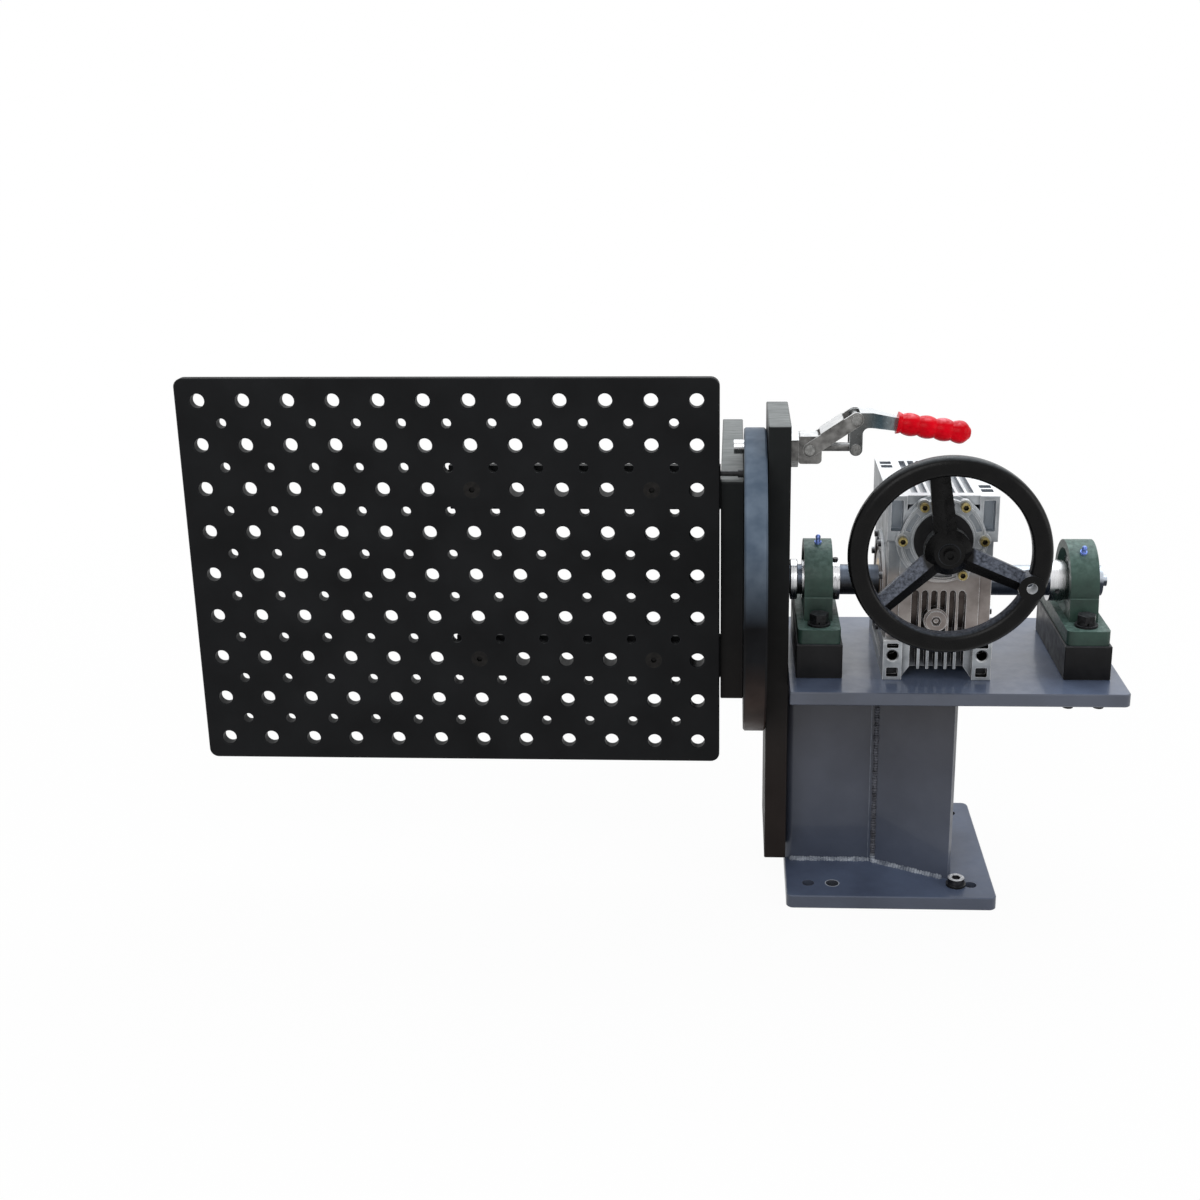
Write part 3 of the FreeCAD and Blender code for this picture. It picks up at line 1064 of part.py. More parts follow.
def handle_rivets():
    """Rivet heads on the ears at the plunger pivot, one each side of its eye."""
    x, z = PIVOT_P
    rivets = []
    for s in (-1, 1):
        a, b, c = s * EAR_IN, s * EAR_OUT, s * (EAR_OUT + PIN_HEAD_H)
        rivets.append(rod("xz", x, z, min(a, b), max(a, b), PIN_R).fuse(
            rod("xz", x, z, min(b, c), max(b, c), PIN_HEAD_R)))
    return Part.makeCompound(rivets)


def clamp_grip():
    """A dipped grip: four finger lobes, the last one round-ended, turned about the lever's axis."""
    lobes, swell = 4, 1.8
    pitch, valley = GRIP_L / (lobes + 0.15), GRIP_R - swell
    edges = [Part.makeLine(V(0, 0, 0), V(0, 0, valley))]
    for i in range(lobes):
        x, last = i * pitch, i == lobes - 1
        end = V(GRIP_L, 0, 0) if last else V(x + pitch, 0, valley)
        # as splines, because an arc this flat would revolve into a torus that crosses itself
        edges.append(Part.Arc(V(x, 0, valley), V(x + pitch / 2, 0, GRIP_R), end).toBSpline().toShape())
    edges.append(Part.makeLine(V(GRIP_L, 0, 0), V(0, 0, 0)))
    grip = Part.Face(Part.Wire(edges)).revolve(V(0, 0, 0), V(1, 0, 0), 360)
    grip.rotate(V(0, 0, 0), V(0, 1, 0), GRIP_DROP)
    grip.translate(V(ARM_END, 0, ARM_TIP_Z))
    return grip.cut(handle_tang()).cut(handle_arm())


def clamp_plunger():
    px, pz = PIVOT_P
    stem = rod("yz", 0, CLAMP_Z, PLUNGER_TIP + 1, px - 4, PLUNGER_R)
    tip = cone("yz", 0, CLAMP_Z, PLUNGER_TIP, PLUNGER_TIP + 1, PLUNGER_R - 1, PLUNGER_R)
    eye = rod("xz", px, pz, -EYE_HALF, EYE_HALF, HANDLE_R)
    return fuse_all([stem, tip, eye])


def nodes():
    return {
        "base_plate": base_plate(),
        "base_washer": base_washer(),
        "base_bolt": base_bolt(),
        "column_tube": column_tube(),
        "gussets": Part.makeCompound([gusset(-1), gusset(1)]),
        "weld_beads": weld_beads(),
        "shelf_plate": shelf_plate(),
        "index_plate": index_plate(),
        "index_plate_screws": index_plate_screws(),
        "spacer_left": spacer(PILLOW_X[0]),
        "spacer_right": spacer(PILLOW_X[1]),
        "spacer_studs": spacer_studs(),
        "spacer_nuts": spacer_nuts(),
        "pillow_housing_left": pillow_housing(PILLOW_X[0], NIPPLE_ANGLES[0]),
        "pillow_housing_right": pillow_housing(PILLOW_X[1], NIPPLE_ANGLES[1]),
        "bearing_outer_left": bearing_outer(PILLOW_X[0]),
        "bearing_outer_right": bearing_outer(PILLOW_X[1]),
        "pillow_washers": pillow_washers(),
        "pillow_bolts": pillow_bolts(),
        "grease_nipples": grease_nipples(),
        "gearbox_housing": gearbox_housing(),
        "output_cover_left": output_cover(-1),
        "output_cover_right": output_cover(1),
        "output_cover_screws": output_cover_screws(),
        "gearbox_bearings": gearbox_bearings(),
        "input_flange": input_flange(),
        "input_flange_screws": input_flange_screws(),
        "input_seal": input_seal(),
        "rear_cap": rear_cap(),
        "level_plug": level_plug(),
        "gearbox_bolts": gearbox_bolts(),
        "main_shaft": main_shaft(),
        "shaft_keys": shaft_keys(),
        "shaft_ring": shaft_ring(),
        "bearing_inner_left": bearing_inner(0),
        "bearing_inner_right": bearing_inner(1),
        "bearing_set_screws": bearing_set_screws(),
        "worm_wheel": worm_wheel(),
        "faceplate_disc": faceplate_disc(),
        "index_bush": index_bush(),
        "disc_screws": disc_screws(),
        "side_plate": side_plate(),
        "arm_screws": arm_screws(),
        "arm_lower": arm(ARM_ZS[0]),
        "arm_upper": arm(ARM_ZS[1]),
        "table_plate": table_plate(),
        "table_bolts": table_bolts(),
        "worm_shaft": worm_shaft(),
        "handwheel": handwheel(),
        "handwheel_key": handwheel_key(),
        "handwheel_screw": handwheel_screw(),
        "clamp_body": clamp_body(),
        "clamp_nut": clamp_nut(),
        "clamp_pivot_pins": clamp_pivot_pins(),
        "clamp_link": clamp_link(),
        "link_rivet": link_rivet(),
        "clamp_handle": clamp_handle(),
        "handle_rivets": handle_rivets(),
        "clamp_grip": clamp_grip(),
        "clamp_plunger": clamp_plunger(),
    }


os.makedirs("parts", exist_ok=True)
for name, shape in nodes().items():
    shape.exportStep("parts/" + name + ".step")
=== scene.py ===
import bpy, json, math
from mathutils import Matrix, Vector


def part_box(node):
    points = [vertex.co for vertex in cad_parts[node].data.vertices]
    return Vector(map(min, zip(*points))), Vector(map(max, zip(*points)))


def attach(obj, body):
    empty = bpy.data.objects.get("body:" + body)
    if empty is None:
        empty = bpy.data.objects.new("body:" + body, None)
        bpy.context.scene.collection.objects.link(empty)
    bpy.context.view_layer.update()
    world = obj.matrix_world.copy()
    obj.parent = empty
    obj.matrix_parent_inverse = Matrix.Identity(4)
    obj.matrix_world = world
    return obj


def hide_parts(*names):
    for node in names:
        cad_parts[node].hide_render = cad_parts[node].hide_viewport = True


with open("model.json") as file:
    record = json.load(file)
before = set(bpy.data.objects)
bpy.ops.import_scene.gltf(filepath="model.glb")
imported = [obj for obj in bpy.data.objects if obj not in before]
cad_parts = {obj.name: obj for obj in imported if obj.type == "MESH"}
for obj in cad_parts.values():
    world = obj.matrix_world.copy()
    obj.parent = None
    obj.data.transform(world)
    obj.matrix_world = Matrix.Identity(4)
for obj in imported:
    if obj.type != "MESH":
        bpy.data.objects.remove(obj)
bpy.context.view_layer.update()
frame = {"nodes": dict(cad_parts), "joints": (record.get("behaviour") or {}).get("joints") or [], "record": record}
nodes = frame["nodes"]

# ---- Camera, floor and light ----
# A long lens a little above the shaft, turned slightly right and looking down at the machine,
# in a white studio with one large overhead light, a soft front light and a weak side light.
VIEW_FROM = Vector((-0.1825, -1.7441, 0.9103))
LOOK_DOWN, LOOK_RIGHT, TILT = 17.19, 2.60, 0.24
SENSOR, LENS, SHIFT = 36.0, 47.16, (-0.0517, -0.0267)
camera_data = bpy.data.cameras.new("camera")
camera_data.sensor_width, camera_data.lens = SENSOR, LENS
camera_data.shift_x, camera_data.shift_y = SHIFT
camera = bpy.data.objects.new("camera", camera_data)
bpy.context.scene.collection.objects.link(camera)
turn = (Matrix.Rotation(math.radians(TILT), 3, "Z")
        @ Matrix.Rotation(math.radians(LOOK_RIGHT), 3, "Y")
        @ Matrix.Rotation(math.radians(LOOK_DOWN), 3, "X"))
sight = turn @ Matrix(((1, 0, 0), (0, 0, -1), (0, 1, 0)))
aim = Matrix((sight[0], -sight[1], -sight[2])).transposed().to_4x4()
camera.matrix_world = Matrix.Translation(VIEW_FROM) @ aim
bpy.context.scene.camera = camera
bpy.context.scene.view_settings.view_transform = "Standard"


def softbox(name, place, target, size, power, tint=(1.0, 1.0, 1.0)):
    """A square lamp at place that looks at target."""
    lamp = bpy.data.lights.new(name, "AREA")
    lamp.shape, lamp.size, lamp.energy, lamp.color = "SQUARE", size, power, tint
    holder = bpy.data.objects.new(name, lamp)
    holder.location = place
    holder.rotation_euler = (Vector(target) - Vector(place)).to_track_quat("-Z", "Y").to_euler()
    bpy.context.scene.collection.objects.link(holder)


softbox("overhead", (0.3, 0.9, 2.3), (-0.1, 0.0, 0.4), 2.2, 34.0, (0.93, 0.97, 1.0))
softbox("front", (-0.9, -2.4, 2.0), (-0.2, 0.0, 0.35), 1.8, 30.0)
softbox("side", (2.3, -0.9, 1.1), (0.1, 0.0, 0.4), 1.4, 14.0)

AMBIENT = 0.42
world = bpy.data.worlds.new("studio")
bpy.context.scene.world = world
world.use_nodes = True
sky = world.node_tree
sky.nodes.clear()
seen = sky.nodes.new("ShaderNodeLightPath")
direct, shown = sky.nodes.new("ShaderNodeMath"), sky.nodes.new("ShaderNodeMath")
direct.operation = shown.operation = "MAXIMUM"
ambient, white = sky.nodes.new("ShaderNodeBackground"), sky.nodes.new("ShaderNodeBackground")
for background, strength in ((ambient, AMBIENT), (white, 1.0)):
    background.inputs["Color"].default_value = (1.0, 1.0, 1.0, 1.0)
    background.inputs["Strength"].default_value = strength
choose = sky.nodes.new("ShaderNodeMixShader")
sky_out = sky.nodes.new("ShaderNodeOutputWorld")
sky.links.new(seen.outputs["Is Camera Ray"], direct.inputs[0])
sky.links.new(seen.outputs["Is Glossy Ray"], direct.inputs[1])
sky.links.new(direct.outputs[0], shown.inputs[0])
sky.links.new(seen.outputs["Is Transmission Ray"], shown.inputs[1])
sky.links.new(shown.outputs[0], choose.inputs[0])
sky.links.new(ambient.outputs[0], choose.inputs[1])
sky.links.new(white.outputs[0], choose.inputs[2])
sky.links.new(choose.outputs[0], sky_out.inputs[0])

# White paper that glows for the camera and mirrors and takes shadows; its glow is whole far out.
FLOOR_HALF, FLOOR_DROP = 12.0, 0.0005
PAPER_FADE, PAPER_GLOW, PAPER_WHITE = (0.5, 2.2), (0.955, 1.0), 0.9
floor_mesh = bpy.data.meshes.new("floor")
floor_corners = [(x * FLOOR_HALF, y * FLOOR_HALF, 0)
                 for x, y in ((-1, -1), (1, -1), (1, 1), (-1, 1))]
floor_mesh.from_pydata(floor_corners, [], [(0, 1, 2, 3)])
floor = bpy.data.objects.new("floor", floor_mesh)
bpy.context.scene.collection.objects.link(floor)
floor.location.z = -FLOOR_DROP
floor_paint = bpy.data.materials.new("studio_floor")
floor_paint.use_nodes = True
paper = floor_paint.node_tree
paper.nodes.clear()
paper_seen = paper.nodes.new("ShaderNodeLightPath")
paper_place = paper.nodes.new("ShaderNodeTexCoord")
paper_far = paper.nodes.new("ShaderNodeVectorMath")
paper_far.operation = "LENGTH"
paper_fade = paper.nodes.new("ShaderNodeMapRange")
RANGE_SOCKETS = ("From Min", "From Max", "To Min", "To Max")
for socket, number in zip(RANGE_SOCKETS, (*PAPER_FADE, *PAPER_GLOW)):
    paper_fade.inputs[socket].default_value = number
paper.links.new(paper_place.outputs["Object"], paper_far.inputs[0])
paper.links.new(paper_far.outputs["Value"], paper_fade.inputs["Value"])
paper_share = paper.nodes.new("ShaderNodeMath")
paper_share.operation = "MULTIPLY"
paper.links.new(paper_fade.outputs["Result"], paper_share.inputs[1])
paper_lit = paper.nodes.new("ShaderNodeBsdfDiffuse")
paper_lit.inputs["Color"].default_value = (PAPER_WHITE, PAPER_WHITE, PAPER_WHITE, 1.0)
paper_glow = paper.nodes.new("ShaderNodeEmission")
paper_mix = paper.nodes.new("ShaderNodeMixShader")
paper_out = paper.nodes.new("ShaderNodeOutputMaterial")
paper_any = paper.nodes.new("ShaderNodeMath")
paper_any.operation = "MAXIMUM"
paper.links.new(paper_seen.outputs["Is Camera Ray"], paper_any.inputs[0])
paper.links.new(paper_seen.outputs["Is Glossy Ray"], paper_any.inputs[1])
paper.links.new(paper_any.outputs[0], paper_share.inputs[0])
paper.links.new(paper_share.outputs[0], paper_mix.inputs[0])
paper.links.new(paper_lit.outputs[0], paper_mix.inputs[1])
paper.links.new(paper_glow.outputs[0], paper_mix.inputs[2])
paper.links.new(paper_mix.outputs[0], paper_out.inputs[0])
floor_mesh.materials.append(floor_paint)

# ---- Welded stand: base plate, column, webs and shelf ----
# Hot-rolled steel plate and tube, welded and sprayed blue-grey. The enamel is thin over plate that
# was only wire-brushed, so it clouds slowly. Painted sky light makes its level faces paler and
# bluer, painted shade makes the column darker and browner up towards the shelf, and its edges
# carry a painted highlight.


def new_surface(name, colour, rough, metal=0.0, coat=0.0, specular=0.5):
    """A material with an empty Principled shader; returns it, its tree and the shader."""
    material = bpy.data.materials.new(name)
    material.use_nodes = True
    tree = material.node_tree
    shader = tree.nodes["Principled BSDF"]
    shader.inputs["Base Color"].default_value = (*colour, 1.0)
    shader.inputs["Roughness"].default_value = rough
    shader.inputs["Metallic"].default_value = metal
    shader.inputs["Coat Weight"].default_value = coat
    shader.inputs["Specular IOR Level"].default_value = specular
    return material, tree, shader


def noise(tree, scale, detail=4.0, rough=0.55, stretch=(1.0, 1.0, 1.0)):
    """Noise over the object's own coordinates, in features per metre, stretched if asked."""
    where = tree.nodes.new("ShaderNodeTexCoord")
    spread = tree.nodes.new("ShaderNodeMapping")
    spread.inputs["Scale"].default_value = stretch
    cloud = tree.nodes.new("ShaderNodeTexNoise")
    cloud.inputs["Scale"].default_value = scale
    cloud.inputs["Detail"].default_value = detail
    cloud.inputs["Roughness"].default_value = rough
    tree.links.new(where.outputs["Object"], spread.inputs["Vector"])
    tree.links.new(spread.outputs["Vector"], cloud.inputs["Vector"])
    return cloud.outputs["Fac"]


def ranged(tree, value, low, high, to_low=0.0, to_high=1.0):
    """Maps a value's range to another, clamped at its ends."""
    span = tree.nodes.new("ShaderNodeMapRange")
    for socket, number in zip(RANGE_SOCKETS, (low, high, to_low, to_high)):
        span.inputs[socket].default_value = number
    tree.links.new(value, span.inputs["Value"])
    return span.outputs["Result"]


def times(tree, first, second):
    product = tree.nodes.new("ShaderNodeMath")
    product.operation = "MULTIPLY"
    tree.links.new(first, product.inputs[0])
    tree.links.new(second, product.inputs[1])
    return product.outputs[0]


MIX_FACTOR, MIX_FIRST, MIX_SECOND, MIX_COLOUR = 0, 6, 7, 2


def blended(tree, factor, first, second):
    """Mixes two colours, each a tuple or a socket."""
    mix = tree.nodes.new("ShaderNodeMix")
    mix.data_type = "RGBA"
    for index, colour in ((MIX_FIRST, first), (MIX_SECOND, second)):
        if isinstance(colour, tuple):
            mix.inputs[index].default_value = (*colour, 1.0)
        else:
            tree.links.new(colour, mix.inputs[index])
    tree.links.new(factor, mix.inputs[MIX_FACTOR])
    return mix.outputs[MIX_COLOUR]


NOISE_SPAN, CLOUD_SPAN = (0.3, 0.7), (0.32, 0.7)      # noise seldom leaves these


def clouded(tree, scale, dark, light, detail=5.0):
    """A colour that drifts between two tones over the surface."""
    return blended(tree, ranged(tree, noise(tree, scale, detail), *CLOUD_SPAN), dark, light)


def upward(tree, start, full):
    """0 where the surface looks no higher than start, 1 where it looks up past full."""
    facing = tree.nodes.new("ShaderNodeNewGeometry")
    parts = tree.nodes.new("ShaderNodeSeparateXYZ")
    tree.links.new(facing.outputs["Normal"], parts.inputs[0])
    return ranged(tree, parts.outputs["Z"], start, full)


SAMPLES_SHUT, SAMPLES_EDGE = 8, 6


def hollow(tree, reach, deep, open_face):
    """1 in pockets and gaps narrower than reach, 0 on open faces."""
    shut = tree.nodes.new("ShaderNodeAmbientOcclusion")
    shut.only_local = True
    shut.samples = SAMPLES_SHUT
    shut.inputs["Distance"].default_value = reach
    return ranged(tree, shut.outputs["AO"], open_face, deep)


EDGE_NONE, EDGE_FULL = 0.985, 0.84      # how far the rounded normal still agrees with the face's
# Noise break-up of the edge mask, which paints highlights along edges and the rivets' edge shade.
EDGE_BREAK_SPAN, EDGE_BREAK_SHARE = (0.3, 0.6), (0.15, 1.0)


def edges(tree, radius, patchy):
    """1 along edges and corners, broken up by noise at the patchy scale, 0 on flat faces."""
    rounded = tree.nodes.new("ShaderNodeBevel")
    rounded.samples = SAMPLES_EDGE
    rounded.inputs["Radius"].default_value = radius
    facing = tree.nodes.new("ShaderNodeNewGeometry")
    agree = tree.nodes.new("ShaderNodeVectorMath")
    agree.operation = "DOT_PRODUCT"
    tree.links.new(rounded.outputs["Normal"], agree.inputs[0])
    tree.links.new(facing.outputs["Normal"], agree.inputs[1])
    return times(tree, ranged(tree, agree.outputs["Value"], EDGE_NONE, EDGE_FULL),
                 ranged(tree, noise(tree, patchy), *EDGE_BREAK_SPAN, *EDGE_BREAK_SHARE))


def bumped(tree, shader, relief, strength, distance):
    bump = tree.nodes.new("ShaderNodeBump")
    bump.inputs["Strength"].default_value = strength
    bump.inputs["Distance"].default_value = distance
    tree.links.new(relief, bump.inputs["Height"])
    tree.links.new(bump.outputs["Normal"], shader.inputs["Normal"])


def coloured(tree, shader, colour):
    tree.links.new(colour, shader.inputs["Base Color"])


def roughened(tree, shader, cloud, smooth, rough):
    """Roughness that drifts with a noise between two values."""
    tree.links.new(ranged(tree, cloud, *NOISE_SPAN, smooth, rough), shader.inputs["Roughness"])


def place_along(tree, axis):
    """The object's own X, Y or Z, in metres."""
    where = tree.nodes.new("ShaderNodeTexCoord")
    parts = tree.nodes.new("ShaderNodeSeparateXYZ")
    tree.links.new(where.outputs["Object"], parts.inputs[0])
    return parts.outputs[axis]


def dress(material, *names):
    for name in names:
        slots = nodes[name].data.materials
        slots.clear()
        slots.append(material)


def height(tree, low, high):
    """0 below low and 1 above high, in metres above the floor."""
    return ranged(tree, place_along(tree, "Z"), low, high)


def reach_from(tree, centre, flatten, near, far):
    """0 nearer than near to centre and 1 past far, with the axes that flatten zeroes left out."""
    where = tree.nodes.new("ShaderNodeTexCoord")
    offset = tree.nodes.new("ShaderNodeVectorMath")
    offset.operation = "SUBTRACT"
    offset.inputs[1].default_value = centre
    squashed = tree.nodes.new("ShaderNodeVectorMath")
    squashed.operation = "MULTIPLY"
    squashed.inputs[1].default_value = flatten
    length = tree.nodes.new("ShaderNodeVectorMath")
    length.operation = "LENGTH"
    tree.links.new(where.outputs["Object"], offset.inputs[0])
    tree.links.new(offset.outputs[0], squashed.inputs[0])
    tree.links.new(squashed.outputs[0], length.inputs[0])
    return ranged(tree, length.outputs["Value"], near, far)


FOOT_DARK, FOOT_LIGHT = (0.050, 0.060, 0.088), (0.078, 0.092, 0.130)
# Painted shade under the shelf: darker, browner tones for the column's upper part.
SHADED_HEAD_DARK, SHADED_HEAD_LIGHT = (0.031, 0.030, 0.035), (0.050, 0.049, 0.057)
# Painted sky light: paler, bluer tones for the level faces.
SKYLIT_LEVEL_DARK, SKYLIT_LEVEL_LIGHT = (0.070, 0.090, 0.145), (0.122, 0.158, 0.245)
# Height span of the painted shade, faces taking painted sky light, and the painted edge highlight.
SHADE_UP_COLUMN, SKYLIT_FACING, EDGE_HIGHLIGHT_BLUE = (0.04, 0.25), (0.5, 0.95), (0.190, 0.215, 0.265)


def enamel_surface(name):
    """Stand paint: bluer at the foot, painted shade browner up the column, painted sky light and edge highlights.
    """
    material, tree, shader = new_surface(name, FOOT_LIGHT, 0.36, 0.0, 0.15, 0.3)
    foot = clouded(tree, 9.0, FOOT_DARK, FOOT_LIGHT)
    shaded_head = clouded(tree, 9.0, SHADED_HEAD_DARK, SHADED_HEAD_LIGHT)
    upright = blended(tree, height(tree, *SHADE_UP_COLUMN), foot, shaded_head)
    level = clouded(tree, 11.0, SKYLIT_LEVEL_DARK, SKYLIT_LEVEL_LIGHT, 7.0)
    paint = blended(tree, upward(tree, *SKYLIT_FACING), upright, level)
    paint = blended(tree, edges(tree, 0.0009, 90.0), paint, EDGE_HIGHLIGHT_BLUE)
    roughened(tree, shader, noise(tree, 60.0, 5.0), 0.28, 0.46)
    bumped(tree, shader, noise(tree, 420.0, 3.0), 0.12, 0.0006)
    return material, tree, shader, paint


enamel, tree, shader, paint = enamel_surface("grey_enamel")
coloured(tree, shader, paint)
dress(enamel, "column_tube", "gussets")

shelf_enamel, tree, shader, paint = enamel_surface("shelf_enamel")
# Painted shade: the shelf's front and sides are darker than its top.
shaded_shelf_side = clouded(tree, 12.0, (0.034, 0.042, 0.064), (0.058, 0.070, 0.104))
coloured(tree, shader, blended(tree, upward(tree, *SKYLIT_FACING), shaded_shelf_side, paint))
shader.inputs["Specular IOR Level"].default_value = 0.5
shader.inputs["Coat Weight"].default_value = 0.5
shader.inputs["Coat Roughness"].default_value = 0.1
dress(shelf_enamel, "shelf_plate")

# A spare hole has a pale ring round its mouth, and its wall is painted darker as shade.
SPARE_HOLE, RING_NEAR, RING_FAR, RING_SOFT = (-0.066, -0.094, 0.016), 0.0072, 0.0082, 0.0004
LEVEL_PLANE, UPRIGHT_PLANE = (1.0, 1.0, 0.0), (1.0, 0.0, 1.0)
base_enamel, tree, shader, paint = enamel_surface("base_enamel")
past_wall = reach_from(tree, SPARE_HOLE, LEVEL_PLANE, RING_NEAR, RING_NEAR + RING_SOFT)
past_ring = reach_from(tree, SPARE_HOLE, LEVEL_PLANE, RING_FAR, RING_FAR + RING_SOFT)
hole_rim = blended(tree, past_wall, (0.050, 0.056, 0.070), (0.50, 0.54, 0.60))
coloured(tree, shader, blended(tree, past_ring, hole_rim, paint))
dress(base_enamel, "base_plate")

# ---- Weld beads ----
# Arc welds laid as overlapping drops: round the column's foot, up both webs and along their feet.
# They are painted with the stand; a pale, patchy painted highlight lies on the foot's beads, and
# the beads higher up are painted darker as shade in the corners.
BEAD_RADIUS, UPRIGHT_RADIUS, RIPPLE_PITCH, RIPPLE_UNEVEN = 0.0048, 0.0040, 0.0032, 0.30
DROP_SEGMENTS, DROP_RINGS, DROP_FLATNESS = 10, 6, 0.62
PALE_BELOW = (0.020, 0.028)
WEB_THICK, WEB_OUT, WEB_ASIDE, CORNER_R, BEAD_END = 0.009, 0.082, 0.042, 0.009, 0.009


def new_tree(name, **inputs):
    """A Geometry Nodes tree with named inputs, each a (socket type, value) pair."""
    tree = bpy.data.node_groups.new(name, "GeometryNodeTree")
    tree.is_modifier = True
    tree.interface.new_socket("Guide", in_out="INPUT", socket_type="NodeSocketGeometry")
    for label, (kind, value) in inputs.items():
        tree.interface.new_socket(label, in_out="INPUT", socket_type=kind).default_value = value
    tree.interface.new_socket("Result", in_out="OUTPUT", socket_type="NodeSocketGeometry")
    return tree, tree.nodes.new("NodeGroupInput").outputs


def close_tree(tree, instances, material):
    """Ends a tree in Realize Instances and Set Material."""
    real = tree.nodes.new("GeometryNodeRealizeInstances")
    paint = tree.nodes.new("GeometryNodeSetMaterial")
    paint.inputs["Material"].default_value = material
    out = tree.nodes.new("NodeGroupOutput")
    tree.links.new(instances, real.inputs[0])
    tree.links.new(real.outputs[0], paint.inputs[0])
    tree.links.new(paint.outputs[0], out.inputs[0])


def grown(name, points, joins, tree, **sizes):
    """Runs a tree over a guide of joined points; returns the result as a plain mesh piece."""
    guide = bpy.data.meshes.new(name + "_guide")
    guide.from_pydata(points, joins, [])
    maker = bpy.data.objects.new(name + "_guide", guide)
    bpy.context.scene.collection.objects.link(maker)
    step = maker.modifiers.new("grow", "NODES")
    step.node_group = tree
    labels = {item.name: item.identifier for item in tree.interface.items_tree
              if item.in_out == "INPUT"}
    for label, value in sizes.items():
        step[labels[label]] = value
    graph = bpy.context.evaluated_depsgraph_get()
    mesh = bpy.data.meshes.new_from_object(maker.evaluated_get(graph))
    bpy.data.objects.remove(maker)
    piece = bpy.data.objects.new(name, mesh)
    bpy.context.scene.collection.objects.link(piece)
    return piece


weld_paint, tree, shader = new_surface("painted_weld", (0.05, 0.053, 0.066), 0.45, 0.0, 0.1, 0.3)
# Painted highlight on the beads low down, painted shade on the beads higher up.
bead_highlight = clouded(tree, 110.0, (0.110, 0.128, 0.170), (0.46, 0.50, 0.56), 3.0)
bead_shade = clouded(tree, 150.0, (0.020, 0.020, 0.025), (0.120, 0.125, 0.150), 3.0)
coloured(tree, shader, blended(tree, height(tree, *PALE_BELOW), bead_highlight, bead_shade))
roughened(tree, shader, noise(tree, 300.0), 0.38, 0.6)
bumped(tree, shader, noise(tree, 900.0, 3.0), 0.3, 0.0008)

ripples, given = new_tree("weld_ripples", Radius=("NodeSocketFloat", BEAD_RADIUS),
                          Pitch=("NodeSocketFloat", RIPPLE_PITCH),
                          Uneven=("NodeSocketFloat", RIPPLE_UNEVEN), Seed=("NodeSocketInt", 3))
runs = ripples.nodes.new("GeometryNodeMeshToCurve")
stations = ripples.nodes.new("GeometryNodeCurveToPoints")
stations.mode = "LENGTH"
drop = ripples.nodes.new("GeometryNodeMeshUVSphere")
drop.inputs["Segments"].default_value = DROP_SEGMENTS
drop.inputs["Rings"].default_value = DROP_RINGS
size_low = ripples.nodes.new("ShaderNodeMath")
size_low.operation = "SUBTRACT"
size_low.inputs[0].default_value = 1.0
chance = ripples.nodes.new("FunctionNodeRandomValue")
flat = ripples.nodes.new("ShaderNodeCombineXYZ")
thin = ripples.nodes.new("ShaderNodeMath")
thin.operation = "MULTIPLY"
thin.inputs[1].default_value = DROP_FLATNESS
laid = ripples.nodes.new("GeometryNodeInstanceOnPoints")
ripples.links.new(given["Guide"], runs.inputs[0])
ripples.links.new(runs.outputs[0], stations.inputs[0])
ripples.links.new(given["Pitch"], stations.inputs["Length"])
ripples.links.new(given["Radius"], drop.inputs["Radius"])
ripples.links.new(given["Uneven"], size_low.inputs[1])
ripples.links.new(size_low.outputs[0], chance.inputs[2])
ripples.links.new(given["Seed"], chance.inputs["Seed"])
ripples.links.new(chance.outputs[1], flat.inputs["X"])
ripples.links.new(chance.outputs[1], flat.inputs["Y"])
ripples.links.new(chance.outputs[1], thin.inputs[0])
ripples.links.new(thin.outputs[0], flat.inputs["Z"])
ripples.links.new(stations.outputs["Points"], laid.inputs["Points"])
ripples.links.new(stations.outputs["Rotation"], laid.inputs["Rotation"])
ripples.links.new(drop.outputs["Mesh"], laid.inputs["Instance"])
ripples.links.new(flat.outputs[0], laid.inputs["Scale"])
close_tree(ripples, laid.outputs[0], weld_paint)

column_low, column_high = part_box("column_tube")
plate_top, shelf_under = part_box("base_plate")[1].z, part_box("shelf_plate")[0].z
foot_points, upright_points = [], []
for side, face_y in ((-1, column_low.y), (1, column_high.y)):
    foot_points += [(x, face_y, plate_top)
                    for x in (column_low.x + CORNER_R, column_high.x - CORNER_R)]
    along = Vector((WEB_OUT, side * WEB_ASIDE, 0)).normalized()
    across = Vector((-along.y, along.x, 0)) * (WEB_THICK / 2)
    corner = Vector((column_high.x, face_y, plate_top))
    for half in (across, -across):
        foot = corner + half
        foot_points += [foot, foot + along * (math.hypot(WEB_OUT, WEB_ASIDE) - BEAD_END)]
        upright = foot - along * (UPRIGHT_RADIUS / 2)
        upright_points += [upright, Vector((upright.x, upright.y, shelf_under - UPRIGHT_RADIUS))]
for name, points, radius in (("foot_welds", foot_points, BEAD_RADIUS),
                             ("upright_welds", upright_points, UPRIGHT_RADIUS)):
    runs_between = [(start, start + 1) for start in range(0, len(points), 2)]
    beads = grown(name, points, runs_between, ripples, Radius=radius)
    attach(beads, "base")
    if name == "foot_welds":
        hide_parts("weld_beads")

# ---- Base bolt ----
# A zinc-plated hexagon-socket screw in one of the base plate's front holes, on a blackened washer.
zinc, tree, shader = new_surface("bright_zinc", (0.5, 0.5, 0.52), 0.3, 0.8)
